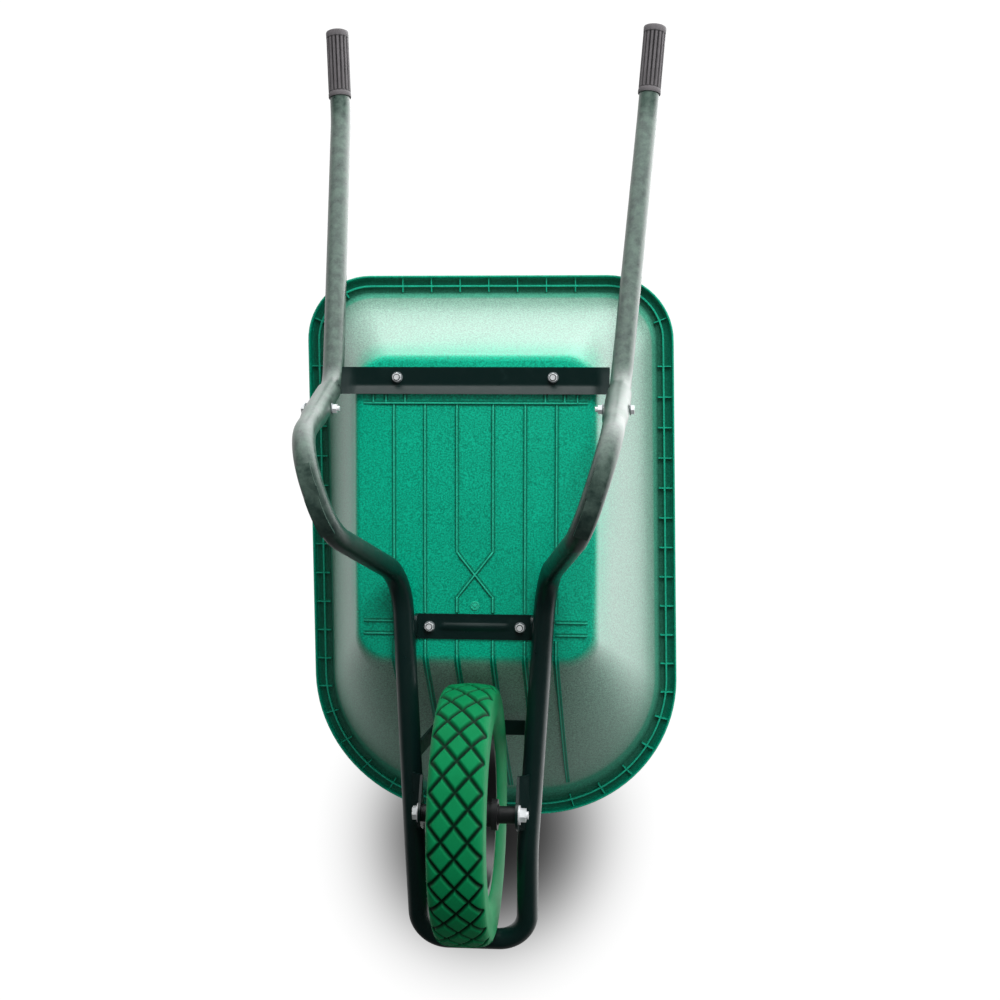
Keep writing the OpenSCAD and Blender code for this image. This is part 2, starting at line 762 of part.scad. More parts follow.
// Closed solid through rings of equal point count, capped at both ends
module lofted(rings) {
    n = ring_n;
    pts = [for (r = rings) for (p = r) p];
    sides = [for (k = [0 : len(rings) - 2]) for (i = [0 : n - 1]) for (h = [0, 1])
        h == 0 ? [k * n + i, k * n + (i + 1) % n, (k + 1) * n + i]
               : [k * n + (i + 1) % n, (k + 1) * n + (i + 1) % n, (k + 1) * n + i]];
    first = [for (i = [n - 1 : -1 : 0]) i];
    last = [for (i = [0 : n - 1]) (len(rings) - 1) * n + i];
    polyhedron(points = pts, faces = flip_faces(concat(sides, [first], [last])));
}

// Closed hoop whose section is given by rings of equal point count
module looped(rings) {
    n = ring_n;
    m = len(rings);
    pts = [for (r = rings) for (p = r) p];
    sides = [for (k = [0 : m - 1]) for (i = [0 : n - 1]) for (h = [0, 1])
        h == 0 ? [k * n + i, k * n + (i + 1) % n, ((k + 1) % m) * n + i]
               : [k * n + (i + 1) % n, ((k + 1) % m) * n + (i + 1) % n, ((k + 1) % m) * n + i]];
    polyhedron(points = pts, faces = flip_faces(sides));
}

function flip_faces(f) = [for (q = f) [for (i = [len(q) - 1 : -1 : 0]) q[i]]];

// Straight rib between two points under the tray, w wide and h high
module rib(a, b, w, h) {
    hull() for (p = [a, b]) translate([p[0] - w / 2, p[1] - w / 2, p[2] - h]) cube([w, w, h + 1]);
}

rib_w = 2.6;
module floor_rib(a, b) {
    rib([a[0], a[1], floor_z(a[1])], [b[0], b[1], floor_z(b[1])], rib_w, floor_rib_h);
}

rib_rear_y = 626;
rib_lines = [28.4, 78.7, 127.8];
cross_y = [387, 321];
side_rib_y = [263, 283];
module floor_ribs() {
    for (m = [0, 1]) mirror([m, 0, 0]) {
        for (x = [rib_lines[1], rib_lines[2]]) floor_rib([x, floor_rear_y - 8], [x, floor_front_y]);
        floor_rib([rib_lines[0], floor_rear_y - 8], [rib_lines[0], cross_y[0]]);
        floor_rib([rib_lines[0], cross_y[0]], [-rib_lines[0], cross_y[1]]);
        floor_rib([rib_lines[0], cross_y[1]], [rib_lines[0], floor_front_y]);
        for (y = side_rib_y) floor_rib([rib_lines[2], y], [floor_x - 3, y]);
        for (x = [152, 172]) floor_rib([x, rib_rear_y], [x, rib_rear_y + 40]);
    }
    floor_rib([-floor_x, rib_rear_y], [floor_x, rib_rear_y]);
    on_floor(308) translate([0, 0, -2.5]) cylinder(h = 3, d = 13.5, $fn = 24);
}

// Ribs that run on up the front wall
front_wall_rib_x = [28.4, 78.7, 127.8];
module front_wall_ribs() {
    for (m = [0, 1]) mirror([m, 0, 0]) for (x = front_wall_rib_x) {
        low = wall_point(x, wall_steps[4]);
        high = wall_point(x, wall_steps[5]);
        base = [x, floor_front_y, floor_z(floor_front_y)];
        rib(base, low, rib_w, 3);
        rib(low, high, rib_w, 3);
    }
}

// Point on the front wall's outside at the given x
function wall_point(x, k) = let (y = mix(floor_line, wall_line, k[0])[3])
    [x, y, mix(floor_z(y), rim_z(y) - tray_wall, k[1])];

// Small ribs that tie the rim's inner lip to the wall and the skirt
lip_at = 11;
lip_t = 2.4;
lip_h = 11;
module rim_rib(p, heading) {
    z = rim_z(p[1]);
    translate([p[0], p[1], z]) rotate([0, 0, heading]) hull() {
        translate([-1, -1, -lip_h + 2]) cube([flange_w - 2.5, 2, 1]);
        translate([-1, -1, -tray_wall - 0.5]) cube([flange_w - 2.5, 2, 1]);
    }
}

module rim_ribs() {
    o = wall_line;
    side_n = floor((o[2] - o[4] - o[3] - o[5]) / rim_rib_pitch);
    rear_n = floor((o[0] - o[4]) / rim_rib_pitch);
    front_n = max(1, floor((o[1] - o[5]) / rim_rib_pitch));
    for (m = [0, 1]) mirror([m, 0, 0]) {
        for (i = [0 : side_n]) {
            y = mix(o[3] + o[5], o[2] - o[4], (i + 0.3) / (side_n + 0.6));
            x = mix(o[1], o[0], (y - o[3] - o[5]) / (o[2] - o[4] - o[3] - o[5]));
            rim_rib([x, y], 0);
        }
        for (a = [-78 : 15 : -3]) rim_rib([o[1] - o[5] + o[5] * cos(a), o[3] + o[5] + o[5] * sin(a)], a);
        for (a = [25, 65]) rim_rib([o[0] - o[4] + o[4] * cos(a), o[2] - o[4] + o[4] * sin(a)], a);
        for (i = [1 : rear_n]) rim_rib([i * rim_rib_pitch, o[2]], 90);
    }
    rim_rib([0, o[2]], 90);
    rim_rib([0, o[3]], -90);
}

// Moulded tray: floor, drawn walls, folded rim and ribs
module tray() {
    color(tray_green) placed() difference() {
        union() {
            lofted(concat(steps_up, fold, steps_down));
            looped([rim_ring(lip_at, -tray_wall + 1), rim_ring(lip_at, -lip_h),
                    rim_ring(lip_at + lip_t, -lip_h), rim_ring(lip_at + lip_t, -tray_wall + 1)]);
            rim_ribs();
            difference() {
                union() {
                    floor_ribs();
                    front_wall_ribs();
                }
                crossbar_seats();
            }
        }
        each_tray_bolt() translate([0, 0, -20]) cylinder(h = 40, d = bolt_d + hole_clear, $fn = 32);
    }
}

// Room for the crossbars between the floor ribs
module crossbar_seats() {
    on_floor(rear_bar_y) translate([0, 0, -25]) cube([2 * floor_x + 60, rear_bar_w + 6, 50], center = true);
    on_floor(front_bar_y) translate([0, 0, -25]) cube([2 * rail_pt(front_bar_y)[0] + 44, front_bar_w + 4, 50], center = true);
    for (m = [0, 1]) mirror([m, 0, 0]) bent_tube([rail_front, rail_rear, foot_front], [0, frame_radii[2], 0],
                                                  tube_r + 2, tube_r);
}

// Height at which the stay meets the underside of the tray's front wall
function stay_top_z() = let (y = stay_y + stay_w / 2, low = wall_steps[4], high = wall_steps[5],
    s = (floor_front_y - y) / (floor_front_y - wall_line[3]),
    t = mix(low[1], high[1], (s - low[0]) / (high[0] - low[0])))
    mix(floor_z(y), rim_z(y) - tray_wall, t) - 3.4;

tray();
front_frame();
handle_left();
handle_right();
rear_crossbar();
front_crossbar();
tray_stay();
axle_bracket_left();
axle_bracket_right();
axle_bolt();
axle_washers();
axle_nut();
hub_spacer_left();
hub_spacer_right();
hub();
hub_bush_left();
hub_bush_right();
rim();
tyre();
foot_strap_left();
foot_strap_right();
leg_bolts();
leg_washers();
leg_nuts();
tray_bolts();
tray_washers();
tray_nuts();
grip_left();
grip_right();
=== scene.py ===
import bpy
import math
import numpy as np
from mathutils import Matrix, Vector


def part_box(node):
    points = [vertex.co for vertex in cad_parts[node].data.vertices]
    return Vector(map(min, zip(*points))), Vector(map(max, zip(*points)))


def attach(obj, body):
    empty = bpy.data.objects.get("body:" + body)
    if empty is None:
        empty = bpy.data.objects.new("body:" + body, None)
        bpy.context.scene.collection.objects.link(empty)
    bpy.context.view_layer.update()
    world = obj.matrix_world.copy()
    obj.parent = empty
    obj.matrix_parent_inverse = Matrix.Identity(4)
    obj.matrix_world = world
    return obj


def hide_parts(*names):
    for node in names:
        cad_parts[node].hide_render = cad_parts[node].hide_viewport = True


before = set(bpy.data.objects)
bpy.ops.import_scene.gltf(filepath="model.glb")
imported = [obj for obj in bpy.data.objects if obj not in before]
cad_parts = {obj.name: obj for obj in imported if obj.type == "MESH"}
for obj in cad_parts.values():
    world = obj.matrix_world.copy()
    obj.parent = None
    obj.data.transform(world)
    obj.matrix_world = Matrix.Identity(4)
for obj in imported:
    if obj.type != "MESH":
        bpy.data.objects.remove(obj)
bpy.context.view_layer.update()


# ---- Tray ------------------------------------------------------------------------------------
# One deep polypropylene moulding, 3.5 mm thick: flat floor, drawn walls with round corners and a
# rolled rim. Ribs stiffen the floor, the nose wall and the underside of the rim.
# It hangs on nothing: it lies on the two crossbars and is bolted through the floor.
tray_wall = 3.5
floor_line = (181, 181, 690, 230, 50, 42)
rim_line = (308, 318, 827, -125, 110, 253)
flange_w = 28
skirt_h = 16
lip_at = 9
lip_t = 3
lip_h = 11

axle_low, axle_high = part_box("axle_bolt")
axle_y = (axle_low.y + axle_high.y) / 2


def at(points):
    """Millimetres from the ground point under the axle, turned into metres in the barrow's frame."""
    return np.asarray(points, float) / 1000 + np.array([0, axle_y, 0])


floor_from_y, floor_from_z, floor_tilt = 275, 294.5, 2.2
rim_rear_z, rim_tilt = 531, 7.4


def floor_z(y):
    """Height of the floor's underside, which rises toward the rear."""
    return floor_from_z + (y - floor_from_y) * math.tan(math.radians(floor_tilt))


def rim_z(y):
    """Height of the rim's top, which rises toward the nose."""
    return rim_rear_z + (rim_line[2] - y) * math.tan(math.radians(rim_tilt))


def mix(a, b, t):
    return a + (b - a) * t


def grown(o, d):
    """An outline moved outward by d on all sides."""
    return (o[0] + d, o[1] + d, o[2] + d, o[3] - d, o[4] + d, o[5] + d)


wall_line = grown(rim_line, -flange_w)
nose_steps = 6
nose_arc_steps = 24


def outline(o):
    """Rounded trapezium seen from above, as a closed loop from the nose's middle round by +X. It is given as
    half widths at rear and nose, y of rear and nose, and corner radii at rear and nose."""
    half = []
    front_c = (o[1] - o[5], o[3] + o[5])
    rear_c = (o[0] - o[4], o[2] - o[4])
    for i in range(nose_steps):
        half.append((front_c[0] * i / nose_steps, o[3]))
    for i in range(nose_arc_steps + 1):
        a = math.radians(-90 + 90 * i / nose_arc_steps)
        half.append((front_c[0] + o[5] * math.cos(a), front_c[1] + o[5] * math.sin(a)))
    for i in range(1, 12):
        half.append((mix(o[1], o[0], i / 12), mix(front_c[1], rear_c[1], i / 12)))
    for i in range(15):
        a = math.radians(90 * i / 14)
        half.append((rear_c[0] + o[4] * math.cos(a), rear_c[1] + o[4] * math.sin(a)))
    for i in range(1, 7):
        half.append((rear_c[0] * (1 - i / 6), o[2]))
    return half + [(-x, y) for x, y in half[-2:0:-1]]


# The nose wall runs out much further than the others but leaves the floor in the same tight bend
side_run, nose_extra_run = 140, 215
long_run = [min(1.0, max(0.0, (math.hypot(a[0] - b[0], a[1] - b[1]) - side_run) / nose_extra_run))
            for a, b in zip(outline(floor_line), outline(wall_line))]


def wall_ring(s, t, inset=0, lift=0):
    """A ring of the wall: s is how far out it lies and t how far up, both from 0 at the floor to 1."""
    o = grown(tuple(mix(a, b, s) for a, b in zip(floor_line, wall_line)), -inset)
    nose_t = max(t, float(np.interp(s, [0, 0.02, 0.05, 0.15, 0.3, 0.9, 1],
                                    [0, 0.006, 0.03, 0.138, 0.29, 0.9, 1])))
    return [(x, y, mix(floor_z(y), rim_z(y) - tray_wall, mix(t, nose_t, far)) + lift)
            for (x, y), far in zip(outline(o), long_run)]


def rim_ring(d, z):
    """A ring of the rim, d out from the wall's line and z up from the rim's top."""
    return [(x, y, rim_z(y) + z) for x, y in outline(grown(wall_line, d))]


def make_piece(name, points, faces, body, material, sharp=38):
    """A mesh object that rides on a body, takes the material and is shaded smooth below the sharp angle."""
    mesh = bpy.data.meshes.new(name)
    mesh.from_pydata([tuple(p) for p in at(points)], [], faces)
    mesh.validate()
    mesh.update()
    mesh.materials.append(material)
    mesh.polygons.foreach_set("use_smooth", [True] * len(mesh.polygons))
    mesh.set_sharp_from_angle(angle=math.radians(sharp))
    piece = bpy.data.objects.new(name, mesh)
    bpy.context.scene.collection.objects.link(piece)
    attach(piece, body)
    return piece


def join_shapes(shapes):
    """One point list and one face list from several."""
    points, faces = [], []
    for p, f in shapes:
        base = len(points)
        points += [tuple(q) for q in p]
        faces += [tuple(i + base for i in face) for face in f]
    return points, faces


def loft(rings, closed=False, caps=True):
    """Quads between rings of equal count, capped at both ends, or closed on itself."""
    n = len(rings[0])
    points = [p for r in rings for p in r]
    faces = []
    count = len(rings)
    for k in range(count if closed else count - 1):
        a, b = k * n, ((k + 1) % count) * n
        faces += [(a + i, b + i, b + (i + 1) % n, a + (i + 1) % n) for i in range(n)]
    if caps and not closed:
        faces.append(tuple(range(n)))
        faces.append(tuple((count - 1) * n + i for i in range(n - 1, -1, -1)))
    return points, faces


def linear(hex_colour):
    """An sRGB hex colour as linear RGBA."""
    parts = [int(hex_colour[i:i + 2], 16) / 255 for i in (1, 3, 5)]
    return tuple(c / 12.92 if c <= 0.04045 else ((c + 0.055) / 1.055) ** 2.4 for c in parts) + (1.0,)


def add(tree, kind, links=None, **settings):
    """A node with its settings; links gives its inputs, each another node's output or a plain value."""
    node = tree.nodes.new(kind)
    for key, value in settings.items():
        setattr(node, key, value)
    for key, value in (links or {}).items():
        socket = node.inputs[key]
        if isinstance(value, bpy.types.NodeSocket):
            tree.links.new(value, socket)
        else:
            socket.default_value = value
    return node


def new_material(name):
    """An empty material: its node tree, its shader and the object's own coordinates."""
    material = bpy.data.materials.new(name)
    material.use_nodes = True
    tree = material.node_tree
    tree.nodes.clear()
    shader = add(tree, "ShaderNodeBsdfPrincipled")
    add(tree, "ShaderNodeOutputMaterial", {"Surface": shader.outputs["BSDF"]})
    place = add(tree, "ShaderNodeTexCoord")
    return material, tree, shader, place.outputs["Object"]


def moulded_polypropylene():
    """Green polypropylene from a spark-eroded mould: an even grain that breaks up the shine, a cloudy colour,
    painted shade in the creases, painted highlights on crests and lips, and a painted whitish sheen on the
    outer walls for their reflection of the white room. The grain is about 1 mm across and is drawn 2 to 3 mm
    across, so that it shows."""
    material, tree, shader, place = new_material("green polypropylene, spark grain")
    cloud = add(tree, "ShaderNodeTexNoise", {"Vector": place, "Scale": 9.0, "Detail": 4.0, "Roughness": 0.6})
    grain = add(tree, "ShaderNodeTexNoise",
                {"Vector": place, "Scale": 430.0, "Detail": 1.5, "Roughness": 0.6})
    speck = add(tree, "ShaderNodeMapRange",
                {"Value": grain.outputs["Fac"], "From Min": 0.35, "From Max": 0.65})
    base = add(tree, "ShaderNodeMix", {0: cloud.outputs["Fac"], 6: linear("#00A986"), 7: linear("#00B994")},
               data_type="RGBA")
    # A point attribute paints a whitish sheen on the outer walls into the colour, for their reflection of the
    # white room
    painted_sheen = add(tree, "ShaderNodeAttribute", attribute_name="painted_sheen")
    with_painted_sheen = add(tree, "ShaderNodeMix", {0: painted_sheen.outputs["Fac"], 6: base.outputs[2], 7: linear("#8DB7A6")},
                data_type="RGBA")
    shade = add(tree, "ShaderNodeMapRange",
                {"Value": speck.outputs["Result"], "To Min": 0.65, "To Max": 1.31})
    fleck = add(tree, "ShaderNodeMix", {0: 1.0, 6: with_painted_sheen.outputs[2], 7: shade.outputs["Result"]},
                data_type="RGBA", blend_type="MULTIPLY")
    # Above 0 this point attribute paints shade into the colour: at the feet of the ribs, in the rim's slot
    # and groove and where the lip meets the rim
    painted_shade_and_highlight = add(tree, "ShaderNodeAttribute", attribute_name="painted_shade_and_highlight")
    foot = add(tree, "ShaderNodeMapRange", {"Value": painted_shade_and_highlight.outputs["Fac"], "To Max": 0.72})
    with_painted_shade = add(tree, "ShaderNodeMix", {0: foot.outputs["Result"], 6: fleck.outputs[2], 7: linear("#00402F")},
               data_type="RGBA")
    # Below 0 the same attribute paints highlights into the colour: on the ribs' crests, the lip, the skirt's
    # edge, the webs and the pip
    painted_highlight_mask = add(tree, "ShaderNodeMapRange",
                {"Value": painted_shade_and_highlight.outputs["Fac"], "From Max": -1.0, "To Max": 0.35})
    with_painted_highlight = add(tree, "ShaderNodeMix",
                 {0: painted_highlight_mask.outputs["Result"], 6: with_painted_shade.outputs[2], 7: linear("#4BD3B0")}, data_type="RGBA")
    tree.links.new(with_painted_highlight.outputs[2], shader.inputs["Base Color"])
    rough = add(tree, "ShaderNodeMapRange",
                {"Value": speck.outputs["Result"], "To Min": 0.30, "To Max": 0.42})
    tree.links.new(rough.outputs["Result"], shader.inputs["Roughness"])
    bump = add(tree, "ShaderNodeBump", {"Height": grain.outputs["Fac"], "Strength": 0.16, "Distance": 0.0008})
    tree.links.new(bump.outputs["Normal"], shader.inputs["Normal"])
    shader.inputs["IOR"].default_value = 1.49
    shader.inputs["Specular IOR Level"].default_value = 0.35
    # The skin's waxy film only shines at a slant
    slant = add(tree, "ShaderNodeLayerWeight", {"Blend": 0.5})
    film = add(tree, "ShaderNodeMapRange",
               {"Value": slant.outputs["Facing"], "From Min": 0.20, "From Max": 0.62, "To Max": 0.4},
               interpolation_type="SMOOTHSTEP")
    tree.links.new(film.outputs["Result"], shader.inputs["Coat Weight"])
    shader.inputs["Coat Roughness"].default_value = 0.38
    shader.inputs["Coat IOR"].default_value = 1.25
    return material


# Each step up the wall: how far out, how far up, and how much of the wall's thickness lies across
wall_steps = [(0, 0, 0), (0.02, 0.002, 0.1), (0.05, 0.008, 0.25), (0.072, 0.016, 0.37), (0.09, 0.026, 0.5),
              (0.108, 0.041, 0.65), (0.125, 0.06, 0.8), (0.138, 0.079, 0.92), (0.15, 0.10, 1),
              (0.30, 0.26, 1), (0.45, 0.42, 1), (0.60, 0.58, 1), (0.75, 0.74, 1), (0.90, 0.90, 1),
              (0.93, 0.935, 0.9), (0.955, 0.965, 0.6), (0.978, 0.987, 0.35), (1, 1, 0.2)]
outside = [wall_ring(s, t) for s, t, w in wall_steps]
inside = [wall_ring(s, t, tray_wall * 1.05 * w, tray_wall * (1 - 0.62 * w)) for s, t, w in wall_steps[::-1]]
fold = [rim_ring(flange_w - 7.5, -tray_wall), rim_ring(flange_w - 4.6, -tray_wall - 1),
        rim_ring(flange_w - 2.8, -skirt_h + 0.6), rim_ring(flange_w - 2.2, -skirt_h),
        rim_ring(flange_w - 0.6, -skirt_h), rim_ring(flange_w, -skirt_h + 0.6), rim_ring(flange_w, -4.5),
        rim_ring(flange_w - 0.6, -2.2), rim_ring(flange_w - 2.0, -0.7), rim_ring(flange_w - 4.2, 0)]
shell = loft(outside + fold + inside)
lip = loft([rim_ring(lip_at, -tray_wall + 1), rim_ring(lip_at, -lip_h + 0.5), rim_ring(lip_at + 0.5, -lip_h),
            rim_ring(lip_at + lip_t - 0.5, -lip_h), rim_ring(lip_at + lip_t, -lip_h + 0.5),
            rim_ring(lip_at + lip_t, -tray_wall + 1)], closed=True)


def ridge(path, up, base_w, top_w, height):
    """A drafted rib along a path: up gives the direction it stands in at each point. A thin skirt under 4 mm
    wide lies along both sides of its foot, where ridge_tone paints shade on the plastic."""
    path = [np.array(p, float) for p in path]
    sections = []
    for i, p in enumerate(path):
        ahead = path[min(i + 1, len(path) - 1)] - path[max(i - 1, 0)]
        ahead /= np.linalg.norm(ahead)
        u = np.array(up[i], float)
        u -= u.dot(ahead) * ahead
        u /= np.linalg.norm(u)
        side = np.cross(ahead, u)
        end = 0.25 if i in (0, len(path) - 1) else 1
        half = [(base_w / 2 + 3.6, -0.5), (base_w / 2 + 3.4, 0.05), (base_w / 2, 0.3),
                (top_w / 2 + 0.3, height * end * 0.86), (top_w * 0.28, height * end)]
        sections.append([p - side * w + u * h for w, h in half]
                        + [p + side * w + u * h for w, h in half[::-1]])
    return loft(sections)


# Tones across a ridge: skirt, painted shade at the foot, painted highlight on the crest, and the same back
ridge_tone = (0.0, 0.0, 1.0, 0.75, -1.0, -1.0, 0.75, 1.0, 0.0, 0.0)
rib_base, rib_top = 3.4, 2.2
floor_rib_h, nose_rib_h = 4.0, 3.6


def floor_ridge(a, b):
    """A straight rib under the floor, from one (x, y) to another."""
    steps = 12
    path = [(mix(a[0], b[0], i / steps), mix(a[1], b[1], i / steps)) for i in range(steps + 1)]
    return ridge([(x, y, floor_z(y)) for x, y in path], [(0, 0, -1)] * len(path), rib_base, rib_top,
                 floor_rib_h)


def nose_point(x, s, t):
    """Where the nose wall's outside lies at this distance from the middle."""
    half = [p for p in wall_ring(s, t) if p[0] >= 0][:nose_steps + nose_arc_steps + 1]
    xs = [p[0] for p in half]
    return (x, float(np.interp(abs(x), xs, [p[1] for p in half])),
            float(np.interp(abs(x), xs, [p[2] for p in half])))


# Six long ribs run from the rear cross rib to the nose and stop either side of the front crossbar. The
# middle two cross over each other on the way.
rib_x = (28.4, 78.7, 127.8)
rear_rib_y, front_rib_y, nose_rib_y = 626, 231, 236
bar_gap = (296, 254)
ribs = []
for side in (-1, 1):
    for x in rib_x[1:]:
        ribs.append(floor_ridge((side * x, rear_rib_y), (side * x, bar_gap[0])))
        ribs.append(floor_ridge((side * x, bar_gap[1]), (side * x, front_rib_y)))
    ribs.append(floor_ridge((side * rib_x[0], rear_rib_y), (side * rib_x[0], 392)))
    ribs.append(floor_ridge((side * rib_x[0], 393), (-side * rib_x[0], 321)))
    ribs.append(floor_ridge((side * rib_x[0], 322), (side * rib_x[0], bar_gap[0])))
    ribs.append(floor_ridge((side * rib_x[0], bar_gap[1]), (side * rib_x[0], front_rib_y)))
    for y in (263, 283):
        ribs.append(floor_ridge((side * 126, y), (side * 177, y)))
    for x in (110, 140, 160):
        ribs.append(floor_ridge((side * x, rear_rib_y), (side * x, 640)))
    for x in rib_x:
        steps = [(s, t) for s, t, w in wall_steps if s <= 0.91]
        path = [nose_point(side * x, s, t) for s, t in steps]
        path = [(side * x, nose_rib_y, floor_z(nose_rib_y))] + path
        ribs.append(ridge(path, [(0, -0.75, -0.65)] * len(path), rib_base, rib_top, nose_rib_h))
ribs.append(floor_ridge((-176, rear_rib_y), (176, rear_rib_y)))


def rim_rib(x, y, heading):
    """A thin web across the rim's groove, from the wall to the skirt."""
    c, s = math.cos(heading), math.sin(heading)
    block = []
    for d, low in ((0.5, 10.5), (lip_at, 10.5), (lip_at + lip_t, 10.5), (flange_w - 3.4, 9.5)):
        block.append([(x + c * d - s * w, y + s * d + c * w, rim_z(y + s * d) - h) for w, h in
                      ((-1.0, 1.5), (-0.8, low), (0.8, low), (1.0, 1.5))])
    return loft(block)


def corner_rib(side, cx, cy, r, degrees):
    """A web in one of the rim's round corners, heading straight out from the corner's centre."""
    a = math.radians(degrees)
    return rim_rib(side * (cx + r * math.cos(a)), cy + r * math.sin(a), a if side > 0 else math.pi - a)


# The webs stand about every 50 mm round the rim: twelve a side, then the corners, rear and nose
rear_c = (wall_line[0] - wall_line[4], wall_line[2] - wall_line[4])
nose_c = (wall_line[1] - wall_line[5], wall_line[3] + wall_line[5])
last_side_rib_y, side_rib_pitch, rear_rib_pitch = 675.6, 51.8, 48.2
rim_ribs = []
for side in (-1, 1):
    for i in range(12):
        y = last_side_rib_y - side_rib_pitch * i
        x = np.interp(y, [nose_c[1], rear_c[1]], [wall_line[1], wall_line[0]])
        rim_ribs.append(rim_rib(side * x, y, 0 if side > 0 else math.pi))
    for degrees in (22, 62):
        rim_ribs.append(corner_rib(side, *rear_c, wall_line[4], degrees))
    for degrees in (-17, -31, -45, -59, -73):
        rim_ribs.append(corner_rib(side, *nose_c, wall_line[5], degrees))
    for i in range(1, 4):
        rim_ribs.append(rim_rib(side * rear_rib_pitch * i, wall_line[2], math.pi / 2))
    rim_ribs.append(rim_rib(side * 40, wall_line[3], -math.pi / 2))
rim_ribs.append(rim_rib(0, wall_line[2], math.pi / 2))

# The sprue's pip on the floor's middle line, near the nose
pip_y = 308
pip_profile = ((7.5, -0.5), (7.2, 1.6), (5.6, 2.2), (5.0, 1.4), (2.4, 1.4), (2.0, 2.6), (0.6, 2.8))
pip = loft([[(r * math.cos(a), pip_y + r * math.sin(a), floor_z(pip_y) - h)
             for a in np.linspace(0, 2 * math.pi, 24, False)] for r, h in pip_profile])
polypropylene = moulded_polypropylene()
tray_points, tray_faces = join_shapes([shell, lip, pip] + ribs + rim_ribs)
tray = make_piece("tray_moulding", tray_points, tray_faces, "frame", polypropylene)
painted_shade_and_highlight = tray.data.attributes.new("painted_shade_and_highlight", "FLOAT", "POINT")
# Tones from wall to rim: painted shade in the slot beside the wall, painted shade in the groove and a painted
# highlight on the skirt
loop = len(outside[0])
fold_tones = [1.0, 0.7, 0.0, -0.8, -0.8, -0.6, -0.3, 0.0, 0.0, 0.0]
ring_tones = [0.0] * (len(outside) - 2) + [0.5, 1.0] + fold_tones + [0.0] * len(inside)
# The lip is painted pale, with painted shade where it meets the rim; the sprue's pip is painted pale
lip_tones = [-0.7] * (len(lip[0]) // loop)
lip_tones[0] = lip_tones[-1] = 0.8
tones = [tone for tone in ring_tones + lip_tones for point in range(loop)]
tones += [-0.9] * (len(shell[0]) + len(lip[0]) + len(pip[0]) - len(tones))
# The ribs take ridge_tone's painted shade and highlight, and the rim's webs a painted highlight
for rib in ribs:
    tones += list(ridge_tone) * (len(rib[0]) // len(ridge_tone))
tones += [-0.5] * (len(tray_points) - len(tones))
painted_shade_and_highlight.data.foreach_set("value", tones)
# The painted sheen starts 5 mm out from the floor's edge, is full after 43 mm and thins at the rim
sheen_start, sheen_run = 5, 38
# Painted sheen on the outer walls, in place of their reflection of the room
painted_sheen = tray.data.attributes.new("painted_sheen", "FLOAT", "POINT")
dust_and_painted_sheen = []
for (s, t, w), ring in zip(wall_steps, outside):
    for p, foot, far in zip(ring, outside[0], long_run):
        run_out = math.hypot(p[0] - foot[0], p[1] - foot[1]) * (1 + far)
        out = min(1.0, max(0.0, (run_out - sheen_start) / sheen_run))
        dust_and_painted_sheen.append(out * out * (3 - 2 * out) * (1.0 if s < 0.92 else 0.35))
dust_and_painted_sheen += [0.0] * (len(tray_points) - len(dust_and_painted_sheen))
painted_sheen.data.foreach_set("value", dust_and_painted_sheen)
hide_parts("tray")


# ---- Frame tube ------------------------------------------------------------------------------
# One steel tube, 33.7 mm, bent cold into nose hoop, rails and legs. Powder coated near-black green.
# Each leg top is pressed open into a half-round saddle that hugs the lower end of a handle.
tube_r = 33.7 / 2
axle_h = 200.0
rail_x, rail_splay, rail_up, rail_tilt = 92, 0.062, 41, 6.8
hoop_up, hoop_gap = 64, 12


def unit(v):
    v = np.array(v, float)
    return v / np.linalg.norm(v)


def rounded_path(corners, radii, step=5.0):
    """Points along straight runs joined by round bends, about every step degrees in a bend."""
    corners = [np.array(p, float) for p in corners]
    out = [corners[0]]
    for i in range(1, len(corners) - 1):
        a, b = unit(corners[i] - corners[i - 1]), unit(corners[i + 1] - corners[i])
        turn = math.acos(max(-1, min(1, float(a.dot(b)))))
        reach = radii[i] * math.tan(turn / 2)
        inward = unit(b - a.dot(b) * a)
        centre = corners[i] - a * reach + inward * radii[i]
        count = max(2, int(math.degrees(turn) / step) + 1)
        for k in range(count + 1):
            w = turn * k / count
            out.append(centre - inward * radii[i] * math.cos(w) + a * radii[i] * math.sin(w))
    out.append(corners[-1])
    full = [out[0]]
    for p in out[1:]:
        run = np.linalg.norm(p - full[-1])
        if run > 30:
            parts = int(run / 25)
            start = full[-1]
            full += [start + (p - start) * k / parts for k in range(1, parts)]
        full.append(p)
    return full


def frames_along(path, first):
    """Directions and two side vectors at each point, carried along without twist."""
    path = [np.array(p, float) for p in path]
    tangents = [unit(path[min(i + 1, len(path) - 1)] - path[max(i - 1, 0)]) for i in range(len(path))]
    u = unit(np.array(first, float) - np.dot(first, tangents[0]) * tangents[0])
    out = []
    for t in tangents:
        u = unit(u - u.dot(t) * t)
        out.append((t, u, np.cross(t, u)))
    return out


def tube_along(path, radius, first=(0, 0, 1), sides=32, caps=True):
    """A round tube swept along a path."""
    rings = []
    for p, (t, u, v) in zip(path, frames_along(path, first)):
        rings.append([p + radius * (math.cos(a) * u + math.sin(a) * v)
                      for a in np.linspace(0, 2 * math.pi, sides, False)])
    return loft(rings, caps=caps)


def rail_pt(y):
    """A point on the rail's centre line. The rails spread and rise toward the legs."""
    return np.array([rail_x + rail_splay * y, y, axle_h + rail_up + y * math.tan(math.radians(rail_tilt))])


